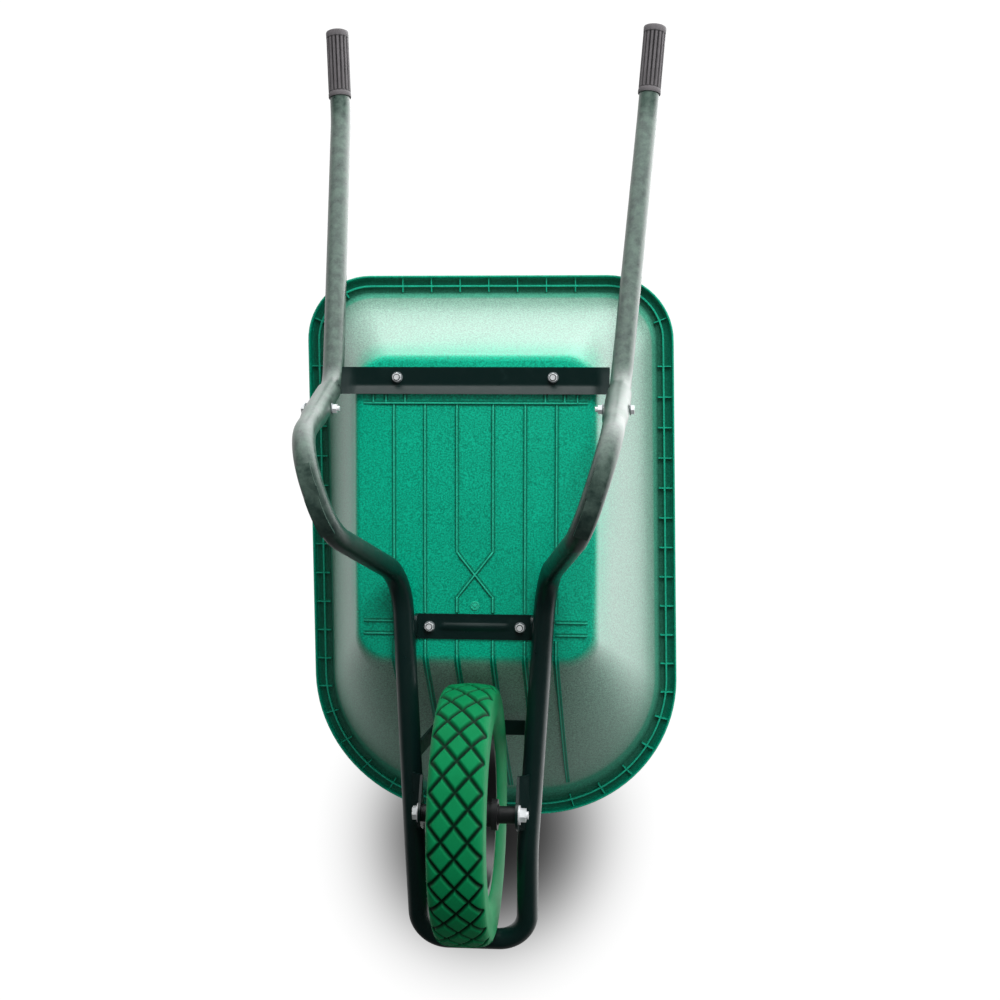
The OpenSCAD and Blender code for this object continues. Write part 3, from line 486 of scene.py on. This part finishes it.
nose_y = -math.sqrt((axle_h + hoop_gap + tube_r) ** 2 - hoop_up ** 2)
foot_h = tube_r + 3.0
handle_bend = np.array([226, 652, 318.0])
foot_front, foot_rear = np.array([181, 459, foot_h]), np.array([221, 585, foot_h])
leg_dir = unit(handle_bend - foot_rear)
leg_bolt = foot_rear + leg_dir * ((axle_h - 9 - foot_h) / leg_dir[2])
half_frame = [np.array([rail_pt(-62)[0] - 3, nose_y, axle_h + hoop_up]), rail_pt(-62), rail_pt(357),
              foot_front, foot_rear, leg_bolt - leg_dir * 80]
half_radii = [46, 150, 78, 82, 82, 0]
flip = np.array([-1, 1, 1])
frame_path = rounded_path([p * flip for p in half_frame[::-1]] + half_frame, half_radii[::-1] + half_radii)


def powder_coat(finish, worn, marks_from, dusty_from):
    """Polyester powder coat on steel, near-black bottle green: half gloss with a faint orange peel 2 to 3 mm
    across. Beyond dusty_from, toward the hands, it shows greyer rub marks and dust."""
    material, tree, shader, place = new_material(finish)
    peel = add(tree, "ShaderNodeTexNoise", {"Vector": place, "Scale": 380.0, "Detail": 2.0, "Roughness": 0.5})
    wear = add(tree, "ShaderNodeTexNoise", {"Vector": place, "Scale": 60.0, "Detail": 8.0, "Roughness": 0.72})
    marks = add(tree, "ShaderNodeMapRange", {"Value": wear.outputs["Fac"], "From Min": marks_from,
                                             "From Max": marks_from + 0.36})
    along = add(tree, "ShaderNodeSeparateXYZ", {"Vector": place})
    reach = add(tree, "ShaderNodeMapRange", {"Value": along.outputs["Y"], "From Min": dusty_from,
                                             "From Max": dusty_from + 0.2})
    dulled = add(tree, "ShaderNodeMath", {0: marks.outputs["Result"], 1: reach.outputs["Result"]},
                 operation="MULTIPLY")
    tone = add(tree, "ShaderNodeMix", {0: dulled.outputs[0], 6: linear("#0A2220"), 7: linear(worn)},
               data_type="RGBA")
    tree.links.new(tone.outputs[2], shader.inputs["Base Color"])
    rough = add(tree, "ShaderNodeMapRange", {"Value": wear.outputs["Fac"], "From Min": 0.3, "From Max": 0.75,
                                             "To Min": 0.26, "To Max": 0.46})
    tree.links.new(rough.outputs["Result"], shader.inputs["Roughness"])
    bump = add(tree, "ShaderNodeBump", {"Height": peel.outputs["Fac"], "Strength": 0.12, "Distance": 0.0006})
    tree.links.new(bump.outputs["Normal"], shader.inputs["Normal"])
    shader.inputs["IOR"].default_value = 1.52
    return material


coat = powder_coat("bottle green powder coat on steel", "#1D3A37", 0.58, -10)
tube_coat = powder_coat("bottle green powder coat, dusty towards the hands", "#566B61", 0.26, axle_y + 0.38)
saddle_wall = 2.1


def saddle(mirror):
    """The pressed leg top, opening from round tube into a trough round the handle's nose side: its outer and
    inner skins, lofted up the leg."""
    toward_nose = unit(np.array([0, -1, 0]) + leg_dir[1] * leg_dir)
    across = np.cross(leg_dir, toward_nose)
    sides = 40
    rows = []
    # Each step: how far up the leg from the bolt, how far the round is opened, and its radius
    steps = [(-81, 0.0, 16.85), (-76, 0.02, 16.9), (-68, 0.10, 17.3), (-58, 0.25, 18.2), (-48, 0.45, 19.0),
             (-38, 0.62, 19.3), (-24, 0.80, 19.4), (-8, 0.92, 19.4), (8, 1.0, 19.4), (40, 1.0, 19.4),
             (70, 1.0, 19.4), (82, 1.0, 19.3)]
    for d, open_part, radius in steps:
        mid = leg_bolt + leg_dir * d
        gap = open_part * math.radians(86)
        angles = np.linspace(gap, 2 * math.pi - gap, sides)
        spokes = [math.cos(a) * toward_nose + math.sin(a) * across for a in angles]
        outer = [mid + radius * spoke for spoke in spokes]
        inner = [mid + (radius - saddle_wall) * spoke for spoke in spokes[::-1]]
        rows.append([p * flip if mirror else p for p in outer + inner])
    return loft(rows)


saddles = [saddle(False), saddle(True)]
frame_points, frame_faces = join_shapes([tube_along(frame_path, tube_r)] + saddles)
tube = make_piece("frame_tube", frame_points, frame_faces, "frame", tube_coat)
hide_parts("front_frame")


# ---- Handles ---------------------------------------------------------------------------------
# Two lengths of the same tube and coat. Each has a short run pinned in the leg's saddle, a tight
# bend, a long rising run and a slight bend down before the grip.
handle_splay, handle_run, grip_run = 0.078, 442, 150
slope = math.tan(math.radians(32.4))
grip_slope = math.tan(math.radians(14))
grip_bend = handle_bend + np.array([handle_splay, 1, slope]) * handle_run
grip_end = grip_bend + np.array([handle_splay, 1, grip_slope]) * grip_run
grip_dir = unit(grip_end - grip_bend)
handle_path = rounded_path([leg_bolt - leg_dir * 66, handle_bend, grip_bend, grip_end - grip_dir * 4.3],
                           [0, 80, 140, 0])
for name, sign in (("handle_left", 1), ("handle_right", -1)):
    turned = [p if sign > 0 else p * flip for p in handle_path]
    points, faces = tube_along(turned, tube_r)
    handle = make_piece(name + "_tube", points, faces, "frame", tube_coat)
    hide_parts(name)


# ---- Crossbars -------------------------------------------------------------------------------
# Two strips of 3 mm steel, pressed and welded between the tubes before coating. The rear one has
# a sloping stiffening lip and flat flared ends, the front one a raised rib between its bolts.
def on_floor(x, y0, dy, dz):
    """A point given along and square to the tray's floor, from the floor at y0."""
    tilt = math.radians(floor_tilt)
    return (x, y0 + dy * math.cos(tilt) - dz * math.sin(tilt),
            floor_z(y0) + dy * math.sin(tilt) + dz * math.cos(tilt))


bar_t = 3.0
rear_bar_y, front_bar_y = 661, 275


def strip_between(stations, y0):
    """A pressed strip: each station is an x with the (along, height) points of its upper face."""
    rows = []
    for x, top in stations:
        under = [(a, h - bar_t) for a, h in top[::-1]]
        rows.append([on_floor(x, y0, a, h) for a, h in top + under])
    return loft(rows)


# The rear bar's section at its welded ends and between them, from the nose side to the hand side
rear_reach = handle_bend[0] - tube_r + 0.4
flat_end = [(-21, -13.6), (-20, -13.2), (-9.5, -9.6), (-7, -8.8), (-4, -7.8), (10, -3.2), (20, -0.2), (21, 0)]
pressed = [(-21, -8.4), (-20, -8.0), (-9.5, -1.4), (-7, -0.2), (-4, 0), (10, 0), (20, 0), (21, 0)]


def eased(a, b, t):
    """A section between two others, changing softly."""
    t = t * t * (3 - 2 * t)
    return [(mix(p[0], q[0], t), mix(p[1], q[1], t)) for p, q in zip(a, b)]


ends = [(0, 0.0), (8, 0.0), (12, 0.12), (16, 0.35), (20, 0.62), (25, 0.88), (30, 1.0)]
stations = [(-rear_reach + d, eased(flat_end, pressed, t)) for d, t in ends]
stations += [(x, pressed) for x in np.linspace(-160, 160, 9)]
stations += [(rear_reach - d, eased(flat_end, pressed, t)) for d, t in ends[::-1]]
points, faces = strip_between(stations, rear_bar_y)
rear_bar = make_piece("rear_crossbar_pressing", points, faces, "frame", coat, sharp=50)
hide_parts("rear_crossbar")

front_reach = rail_pt(front_bar_y)[0] - tube_r + 1.2
plain = [(-20, 0), (-8, 0), (-4.5, 0), (-2.5, 0), (2.5, 0), (4.5, 0), (8, 0), (20, 0)]
ribbed = [(-20, 0), (-8, 0), (-5.5, -0.4), (-3.0, -3.0), (3.0, -3.0), (5.5, -0.4), (8, 0), (20, 0)]
stations = [(-front_reach, plain), (-58, plain), (-53, eased(plain, ribbed, 0.4)), (-48, ribbed), (0, ribbed),
            (48, ribbed), (53, eased(plain, ribbed, 0.4)), (58, plain), (front_reach, plain)]
points, faces = strip_between(stations, front_bar_y)
tabs = []
for sign in (-1, 1):
    inner = sign * (front_reach - bar_t - 1)
    outer = sign * front_reach
    rows = []
    for h, half_w in ((0, 20), (-4, 20), (-14, 19), (-18, 16), (-20.5, 9)):
        rows.append([on_floor(inner, front_bar_y, -half_w, h), on_floor(outer, front_bar_y, -half_w, h),
                     on_floor(outer, front_bar_y, half_w, h), on_floor(inner, front_bar_y, half_w, h)])
    tabs.append(loft(rows))
points, faces = join_shapes([(points, faces)] + tabs)
front_bar = make_piece("front_crossbar_pressing", points, faces, "frame", coat, sharp=50)
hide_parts("front_crossbar")


def dress_solid(name, material):
    """An exact solid that is shown as it is and only takes a material."""
    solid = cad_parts[name]
    solid.data.materials.clear()
    solid.data.materials.append(material)


# The stay, the axle brackets and the foot straps are plain cut plate, so their solids only take a coat
for name in ("tray_stay", "axle_bracket_left", "axle_bracket_right", "foot_strap_left", "foot_strap_right"):
    dress_solid(name, tube_coat if name.startswith("foot") else coat)


# ---- Tyre ------------------------------------------------------------------------------------
# Closed-cell polyurethane foam, puncture proof, moulded in one piece: a diamond tread between four
# crossing zigzag grooves, round shoulders, and a bead that sits in the rim.
tyre_r = 200.0
tyre_half = 43.0
tread_rows = 26
row_angle = 2 * math.pi / tread_rows
tread_start = math.radians(-79)
tread_from_r = 178
tread_half = 39.0
tread_fade = 2.5
groove_depth = 4.6
groove_half_w = 4.2
around_steps = tread_rows * 24


def tyre_profile():
    """Section from one bead to the other as (radius, x), with x the distance from the middle."""
    crown, half = tyre_r, tyre_half
    side = [(118.6, 20), (118.6, 27.4), (127.6, 27.6), (128, 31), (134, 35.8), (142, 39.8), (152, 42.4),
            (162, half)]
    side += [(crown - 18 + 16 * math.cos(math.radians(a)), half - 16.6 + 16 * math.sin(math.radians(a)))
             for a in (90, 75, 60, 45, 30, 15)]
    side += [(crown - 1.6, 25), (crown - 0.5, 15), (crown, 7), (crown, 0)]
    return side


half_section = tyre_profile()
tread_step, plain_step = 1.1, 5
dense = []
for (r0, x0), (r1, x1) in zip(half_section, half_section[1:]):
    step = tread_step if r0 > tread_from_r else plain_step
    parts = max(1, int(math.hypot(r1 - r0, x1 - x0) / step))
    dense += [(mix(r0, r1, k / parts), mix(x0, x1, k / parts)) for k in range(parts)]
dense.append(half_section[-1])
section = dense + [(r, -x) for r, x in dense[-2::-1]]


def zigzag(v, low, high):
    """Distance across the tyre of a groove that swings between low and high once a diamond."""
    v = v % 2.0
    return mix(low, high, v if v < 1 else 2 - v)


def tread_depth(x, v):
    """How deep the tread is cut at a distance x from the middle, v diamonds round from the start."""
    if abs(x) > tread_half + tread_fade:
        return 0.0
    slant = tread_half / (math.pi * 2 * tyre_r / tread_rows)
    out, back = zigzag(v, 0.0, tread_half), zigzag(v, tread_half, 0.0)
    best = min(abs(x - edge) for edge in (out, back, -out, -back)) / math.hypot(1, slant)
    depth = max(0.0, 1 - best / groove_half_w)
    fade = 1 if abs(x) < tread_half else max(0.0, 1 - (abs(x) - tread_half) / tread_fade)
    return groove_depth * min(1.0, depth * 1.5) * fade


def wrapped(turns, count):
    """Faces round a ring of sections, each of count points, closed both ways."""
    faces = []
    for j in range(turns):
        k = (j + 1) % turns
        for i in range(count):
            n = (i + 1) % count
            faces.append((j * count + i, j * count + n, k * count + n, k * count + i))
    return faces


points, cuts = [], []
for j in range(around_steps):
    a = 2 * math.pi * j / around_steps
    v = (a - tread_start) / row_angle
    for r, x in section:
        cut = tread_depth(x, v) if r > tread_from_r else 0.0
        cuts.append(cut)
        points.append((x, (r - cut) * math.cos(a), axle_h + (r - cut) * math.sin(a)))
faces = wrapped(around_steps, len(section))


def foam_rubber():
    """Polyurethane foam tyre, mid green: matt cloudy skin with closed-cell pits, darker down in the grooves
    the deeper they are cut. The pits are finer than 1 mm and are drawn 1 to 2 mm across, so that they show."""
    material, tree, shader, place = new_material("green polyurethane foam")
    pits = add(tree, "ShaderNodeTexNoise",
               {"Vector": place, "Scale": 620.0, "Detail": 3.0, "Roughness": 0.65})
    cloud = add(tree, "ShaderNodeTexNoise", {"Vector": place, "Scale": 30.0, "Detail": 5.0, "Roughness": 0.6})
    tone = add(tree, "ShaderNodeMix", {0: cloud.outputs["Fac"], 6: linear("#027542"), 7: linear("#058A54")},
               data_type="RGBA")
    # Darker the deeper the tread is cut at that point
    groove_darkening = add(tree, "ShaderNodeAttribute", attribute_name="groove")
    darkened_in_grooves = add(tree, "ShaderNodeMix", {0: groove_darkening.outputs["Fac"], 6: tone.outputs[2], 7: linear("#012213")},
                 data_type="RGBA")
    tree.links.new(darkened_in_grooves.outputs[2], shader.inputs["Base Color"])
    rough = add(tree, "ShaderNodeMapRange", {"Value": pits.outputs["Fac"], "To Min": 0.48, "To Max": 0.72})
    tree.links.new(rough.outputs["Result"], shader.inputs["Roughness"])
    bump = add(tree, "ShaderNodeBump", {"Height": pits.outputs["Fac"], "Strength": 0.3, "Distance": 0.0008})
    tree.links.new(bump.outputs["Normal"], shader.inputs["Normal"])
    shader.inputs["Specular IOR Level"].default_value = 0.14
    return material


foam = foam_rubber()
tyre = make_piece("tyre_moulding", points, faces, "wheel", foam, sharp=60)
# The tyre's colour is darkened by how deep the tread is cut at each point
groove_darkening = tyre.data.attributes.new("groove", "FLOAT", "POINT")
groove_darkening.data.foreach_set("value", [cut / groove_depth for cut in cuts])
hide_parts("tyre")


# ---- Rim and hub -----------------------------------------------------------------------------
# The wheel disc is pressed steel in black enamel. The hub, bushes and spacers are black nylon.
def black_enamel():
    """Stoved black enamel: smooth and fairly glossy, with a soft drift in the shine."""
    material, tree, shader, place = new_material("black stoving enamel")
    drift = add(tree, "ShaderNodeTexNoise", {"Vector": place, "Scale": 18.0, "Detail": 5.0, "Roughness": 0.6})
    rough = add(tree, "ShaderNodeMapRange", {"Value": drift.outputs["Fac"], "To Min": 0.25, "To Max": 0.45})
    tree.links.new(rough.outputs["Result"], shader.inputs["Roughness"])
    shader.inputs["Base Color"].default_value = linear("#121414")
    return material


def black_nylon():
    """Moulded nylon, black: dull satin with a fine grain, drawn 1 to 2 mm across so that it shows."""
    material, tree, shader, place = new_material("black moulded nylon")
    grain = add(tree, "ShaderNodeTexNoise", {"Vector": place, "Scale": 700.0, "Detail": 2.0})
    bump = add(tree, "ShaderNodeBump", {"Height": grain.outputs["Fac"], "Strength": 0.15, "Distance": 0.0005})
    tree.links.new(bump.outputs["Normal"], shader.inputs["Normal"])
    rough = add(tree, "ShaderNodeMapRange", {"Value": grain.outputs["Fac"], "To Min": 0.4, "To Max": 0.6})
    tree.links.new(rough.outputs["Result"], shader.inputs["Roughness"])
    shader.inputs["Base Color"].default_value = linear("#17181A")
    return material


enamel, nylon = black_enamel(), black_nylon()
for name, finish in (("rim", enamel), ("hub", nylon), ("hub_bush_left", nylon), ("hub_bush_right", nylon),
                     ("hub_spacer_left", nylon), ("hub_spacer_right", nylon)):
    dress_solid(name, finish)


# ---- Fasteners -------------------------------------------------------------------------------
# Zinc-plated steel bolts, nuts and washers. The washers have gone dull, and the tray's nuts are
# drawn with their chamfers and countersunk threads.
def zinc_plate(finish, low, high):
    """Zinc plate on steel: silvery, slightly blue, with fine handling marks in the shine and painted shade
    in the nuts' threads and seats."""
    material, tree, shader, place = new_material(finish)
    marks = add(tree, "ShaderNodeTexNoise",
                {"Vector": place, "Scale": 240.0, "Detail": 6.0, "Roughness": 0.7})
    rough = add(tree, "ShaderNodeMapRange", {"Value": marks.outputs["Fac"], "To Min": 0.22, "To Max": 0.45})
    tree.links.new(rough.outputs["Result"], shader.inputs["Roughness"])
    tone = add(tree, "ShaderNodeMix", {0: marks.outputs["Fac"], 6: linear(low), 7: linear(high)},
               data_type="RGBA")
    # This point attribute paints shade into the colour, in the nuts' threads and on their seats
    nut_painted_shade = add(tree, "ShaderNodeAttribute", attribute_name="nut_painted_shade")
    painted_shade_in_threads = add(tree, "ShaderNodeMix", {0: nut_painted_shade.outputs["Fac"], 6: tone.outputs[2], 7: linear("#2E3836")},
                  data_type="RGBA")
    tree.links.new(painted_shade_in_threads.outputs[2], shader.inputs["Base Color"])
    shader.inputs["Metallic"].default_value = 0.15
    return material


zinc = zinc_plate("bright zinc plate on steel", "#D3D8DB", "#F2F4F5")
dull_zinc = zinc_plate("dull zinc plate on washers", "#5F6A6C", "#8C9698")
for name in ("axle_bolt", "axle_washers", "axle_nut", "leg_bolts", "leg_washers", "leg_nuts",
             "tray_bolts", "tray_washers", "tray_nuts"):
    dress_solid(name, dull_zinc if name in ("tray_washers", "leg_washers") else zinc)


def hexagon_nut(x, y0, dy):
    """A chamfered M8 nut under a crossbar, run round by angle: bore, seat, flats, chamfer, countersink."""
    points, nut_painted_shade = [], []
    turns = 72
    for j in range(turns):
        a = 2 * math.pi * j / turns
        flat = 6.5 / math.cos((a + math.pi / 6) % (math.pi / 3) - math.pi / 6)
        out = min(flat, 7.5)
        # The last number of each is painted shade: full on the seat, in the countersink and down the bore,
        # fading over the seat's chamfer
        around = [(4.15, 0, 1), (min(flat, 7.2), 0, 1), (out, 0.5, 0.9), (out, 1.3, 0.1), (out, 5.4, 0),
                  (min(flat, 6.55), 6.4, 0), (5.5, 6.5, 0), (5.2, 6.3, 1), (4.15, 5.0, 1)]
        for r, h, dark in around:
            points.append(on_floor(x + r * math.cos(a), y0, dy + r * math.sin(a), -4.6 - h))
            nut_painted_shade.append(dark)
    return points, wrapped(turns, len(points) // turns), nut_painted_shade


nut_places = ((122, rear_bar_y, 5), (71.5, front_bar_y, 0))
nuts = [hexagon_nut(side * x, y0, dy) for side in (-1, 1) for x, y0, dy in nut_places]
nut_points, nut_faces = join_shapes([(points, faces) for points, faces, nut_painted_shade in nuts])
nut_set = make_piece("tray_nuts_chamfered", nut_points, nut_faces, "frame", zinc, sharp=25)
# Painted shade in each nut's bore, countersink and seat
nut_painted_shade = nut_set.data.attributes.new("nut_painted_shade", "FLOAT", "POINT")
nut_painted_shade.data.foreach_set("value", [dark for points, faces, darks in nuts for dark in darks])
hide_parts("tray_nuts")


# ---- Grips -----------------------------------------------------------------------------------
# Dark grey moulded rubber sleeves, pushed over the ends of the handles. Each has a plain collar, a
# fluted body for the fingers and a closed end.
def grip_rubber():
    """Filled rubber, dark grey: matt and dusty in patches, with painted shade in the flutes and a faint
    grain, drawn about 1 mm across so that it shows."""
    material, tree, shader, place = new_material("dark grey moulded rubber")
    dust_and_painted_sheen = add(tree, "ShaderNodeTexNoise",
                {"Vector": place, "Scale": 45.0, "Detail": 6.0, "Roughness": 0.65})
    tone = add(tree, "ShaderNodeMix", {0: dust_and_painted_sheen.outputs["Fac"], 6: linear("#4B494B"), 7: linear("#7D797C")},
               data_type="RGBA")
    # This point attribute paints shade into the colour in the flutes
    flute = add(tree, "ShaderNodeAttribute", attribute_name="flute")
    painted_flute_shade = add(tree, "ShaderNodeMix", {0: flute.outputs["Fac"], 6: tone.outputs[2], 7: linear("#121113")},
                data_type="RGBA")
    tree.links.new(painted_flute_shade.outputs[2], shader.inputs["Base Color"])
    rough = add(tree, "ShaderNodeMapRange", {"Value": dust_and_painted_sheen.outputs["Fac"], "To Min": 0.55, "To Max": 0.75})
    tree.links.new(rough.outputs["Result"], shader.inputs["Roughness"])
    grain = add(tree, "ShaderNodeTexNoise", {"Vector": place, "Scale": 900.0, "Detail": 2.0})
    bump = add(tree, "ShaderNodeBump", {"Height": grain.outputs["Fac"], "Strength": 0.15, "Distance": 0.0005})
    tree.links.new(bump.outputs["Normal"], shader.inputs["Normal"])
    return material


rubber = grip_rubber()
grip_len = 118.0
flutes_round = 16
flute_depth = 1.8
ring_points = 120
# Along the sleeve: distance from its collar, radius, and how deep the flutes are cut there
grip_profile = [(0, 17.2, 0), (0, 18.8, 0), (0.8, 19.2, 0), (6.5, 19.2, 0), (8.0, 18.7, 0), (9, 18.7, 0.4),
                (11, 18.9, 1), (50, 18.9, 1), (104, 18.9, 1), (106, 18.9, 0.6), (107.5, 19.1, 0),
                (112, 19.2, 0), (116.2, 19.2, 0), (117.2, 18.8, 0), (117.9, 17.6, 0), (118, 15.5, 0)]
grip_start = grip_end - grip_dir * grip_len
u = unit(np.cross(grip_dir, [0, 0, 1]))
v = np.cross(grip_dir, u)
for name, sign in (("grip_left", 1), ("grip_right", -1)):
    rows, dark = [], []
    for d, radius, flute in grip_profile:
        ring = []
        for k in range(ring_points):
            a = 2 * math.pi * k / ring_points
            cut = flute_depth * flute * max(0.0, math.cos(a * flutes_round)) ** 0.6
            # Painted shade in the flutes, by how deep they are cut, and along the two steps at the ends of
            # the fluted run
            dark.append(0.85 if d in (9, 106) else cut / flute_depth)
            p = grip_start + grip_dir * d + (radius - cut) * (math.cos(a) * u + math.sin(a) * v)
            ring.append(p if sign > 0 else p * flip)
        rows.append(ring)
    points, faces = loft(rows, caps=False)
    last = len(rows) - 1
    faces.append(tuple(last * ring_points + i for i in range(ring_points - 1, -1, -1)))
    grip = make_piece(name + "_sleeve", points, faces, "frame", rubber, sharp=35)
    flutes = grip.data.attributes.new("flute", "FLOAT", "POINT")
    flutes.data.foreach_set("value", dark)
    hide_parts(name)


# ---- Stage, light and camera -----------------------------------------------------------------
# A pale floor under the barrow, a white room that falls off ahead of the nose, and two soft lamps.
# The floor is only seen from above, so that the barrow can also be looked at from below.
def pale_floor():
    """A matt pale floor that glows a little and vanishes when it is seen from below."""
    material = bpy.data.materials.new("pale floor, seen from above only")
    material.use_nodes = True
    tree = material.node_tree
    tree.nodes.clear()
    matt = add(tree, "ShaderNodeBsdfDiffuse", {"Color": linear("#D8D8D8")})
    lit = add(tree, "ShaderNodeEmission", {"Color": (1, 1, 1, 1), "Strength": 0.38})
    near = add(tree, "ShaderNodeAddShader", {0: matt.outputs[0], 1: lit.outputs[0]})
    # Away from the barrow the floor runs out into the white of the room
    place = add(tree, "ShaderNodeTexCoord")
    away = add(tree, "ShaderNodeVectorMath", {0: place.outputs["Object"]}, operation="LENGTH")
    far = add(tree, "ShaderNodeMapRange", {"Value": away.outputs["Value"], "From Min": 0.7, "From Max": 2.6},
              interpolation_type="SMOOTHSTEP")
    white = add(tree, "ShaderNodeEmission", {"Color": (1, 1, 1, 1), "Strength": 1.05})
    ground = add(tree, "ShaderNodeMixShader",
                 {0: far.outputs["Result"], 1: near.outputs[0], 2: white.outputs[0]})
    clear = add(tree, "ShaderNodeBsdfTransparent")
    side_seen = add(tree, "ShaderNodeNewGeometry")
    both = add(tree, "ShaderNodeMixShader", {0: side_seen.outputs["Backfacing"], 1: ground.outputs[0],
                                             2: clear.outputs[0]})
    add(tree, "ShaderNodeOutputMaterial", {"Surface": both.outputs[0]})
    return material


mesh = bpy.data.meshes.new("floor")
mesh.from_pydata([(-8, -8, -0.0005), (8, -8, -0.0005), (8, 8, -0.0005), (-8, 8, -0.0005)], [], [(0, 1, 2, 3)])
mesh.materials.append(pale_floor())
floor = bpy.data.objects.new("floor", mesh)
bpy.context.scene.collection.objects.link(floor)
for kind in ("shadow", "diffuse", "glossy", "transmission"):
    setattr(floor, "visible_" + kind, False)

scene = bpy.context.scene
world = bpy.data.worlds.new("white studio")
scene.world = world
world.use_nodes = True
tree = world.node_tree
tree.nodes.clear()
way = add(tree, "ShaderNodeTexCoord")
parts = add(tree, "ShaderNodeSeparateXYZ", {"Vector": way.outputs["Generated"]})
# The room is bright above and past the handles, and falls off to grey ahead of the nose
handleward = add(tree, "ShaderNodeMapRange",
                 {"Value": parts.outputs["Y"], "From Min": -0.75, "From Max": 0.55, "To Min": 0.06,
                  "To Max": 1.0}, interpolation_type="SMOOTHSTEP")
above = add(tree, "ShaderNodeMapRange",
            {"Value": parts.outputs["Z"], "From Min": -0.35, "From Max": 0.5, "To Min": 0.0, "To Max": 4.2},
            interpolation_type="SMOOTHSTEP")
past_handles = add(tree, "ShaderNodeMapRange",
                   {"Value": parts.outputs["Y"], "From Min": 0.5, "From Max": 0.95, "To Min": 0.02,
                    "To Max": 2.6}, interpolation_type="SMOOTHSTEP")
# The window side is the brighter one
window = add(tree, "ShaderNodeMapRange", {"Value": parts.outputs["X"], "From Min": -0.6, "From Max": 0.5,
                                          "To Min": 1.3, "To Max": 0.32}, interpolation_type="SMOOTHSTEP")
sideways = add(tree, "ShaderNodeMath", {0: window.outputs["Result"], 1: handleward.outputs["Result"]},
               operation="MULTIPLY")
panels = add(tree, "ShaderNodeMath", {0: above.outputs["Result"], 1: sideways.outputs[0],
                                      2: past_handles.outputs["Result"]}, operation="MULTIPLY_ADD")
wash = add(tree, "ShaderNodeMath", {0: sideways.outputs[0], 1: 0.80, 2: 0.065}, operation="MULTIPLY_ADD")
ray = add(tree, "ShaderNodeLightPath")
seen = add(tree, "ShaderNodeMix", {0: ray.outputs["Is Glossy Ray"], 2: wash.outputs[0], 3: panels.outputs[0]},
           data_type="FLOAT")
# Camera rays that look straight up ahead of the nose see a painted shadow of the nose: a soft grey patch in
# the white room, which shows from underneath
ahead = add(tree, "ShaderNodeVectorMath", {0: way.outputs["Generated"], 1: (0.0984, -0.2870, 0.0)},
            operation="SUBTRACT")
spread = add(tree, "ShaderNodeVectorMath", {0: ahead.outputs[0], 1: (32.41, 32.95, 0.0)},
             operation="MULTIPLY")
square = add(tree, "ShaderNodeVectorMath", {0: spread.outputs[0], 1: spread.outputs[0]},
             operation="DOT_PRODUCT")
minus_half = add(tree, "ShaderNodeMath", {0: square.outputs["Value"], 1: -0.5}, operation="MULTIPLY")
painted_shadow_falloff = add(tree, "ShaderNodeMath", {0: minus_half.outputs[0]}, operation="EXPONENT")
upward = add(tree, "ShaderNodeMath", {0: parts.outputs["Z"], 1: 0.5}, operation="GREATER_THAN")
# The painted shadow, only in directions looking up
corner = add(tree, "ShaderNodeMath", {0: painted_shadow_falloff.outputs[0], 1: upward.outputs[0]}, operation="MULTIPLY")
deep = add(tree, "ShaderNodeMath", {0: corner.outputs[0], 1: -4.365}, operation="MULTIPLY")
light_left = add(tree, "ShaderNodeMath", {0: deep.outputs[0]}, operation="EXPONENT")
plain = add(tree, "ShaderNodeMath", {0: light_left.outputs[0], 1: 1.05}, operation="MULTIPLY")
# Camera rays see the white room with the painted shadow; other rays see only the room's light
shown = add(tree, "ShaderNodeMix", {0: ray.outputs["Is Camera Ray"], 2: seen.outputs[0], 3: plain.outputs[0]},
            data_type="FLOAT")
glow = add(tree, "ShaderNodeBackground", {"Color": (1, 1, 1, 1), "Strength": shown.outputs[0]})
add(tree, "ShaderNodeOutputWorld", {"Surface": glow.outputs[0]})


def soft_lamp(name, place, target, size, watts):
    """A square lamp that lights the barrow but is seen neither by the camera nor in the gloss."""
    light = bpy.data.lights.new(name, "AREA")
    light.shape = "SQUARE"
    light.size = size
    light.energy = watts
    lamp = bpy.data.objects.new(name, light)
    scene.collection.objects.link(lamp)
    lamp.location = place
    lamp.rotation_euler = (Vector(target) - Vector(place)).to_track_quat("-Z", "Y").to_euler()
    lamp.visible_camera = False
    lamp.visible_glossy = False


soft_lamp("lamp past the handles", (-0.8, 2.7, -2.0), (0, 0, 0.35), 1.6, 88)
soft_lamp("lamp above", (1.6, -1.2, 2.8), (0, 0, 0.3), 2.4, 55)

camera = bpy.data.objects.new("camera", bpy.data.cameras.new("camera"))
scene.collection.objects.link(camera)
camera.data.lens = 64.44
camera.data.sensor_width = 36
# The camera looks up at the barrow from below the ground
eye = Vector((-0.3029, 0.7788 + axle_y, -2.4677))
forward = Vector((0.09419, -0.10857, 0.98962)).normalized()
up = Vector((0.00857, 0.99409, 0.10824))
right = forward.cross(up).normalized()
up = right.cross(forward)
camera.matrix_world = Matrix(((right.x, up.x, -forward.x, eye.x),
                              (right.y, up.y, -forward.y, eye.y),
                              (right.z, up.z, -forward.z, eye.z), (0, 0, 0, 1)))
camera.data.clip_start = 0.05
scene.camera = camera
scene.view_settings.view_transform = "Standard"
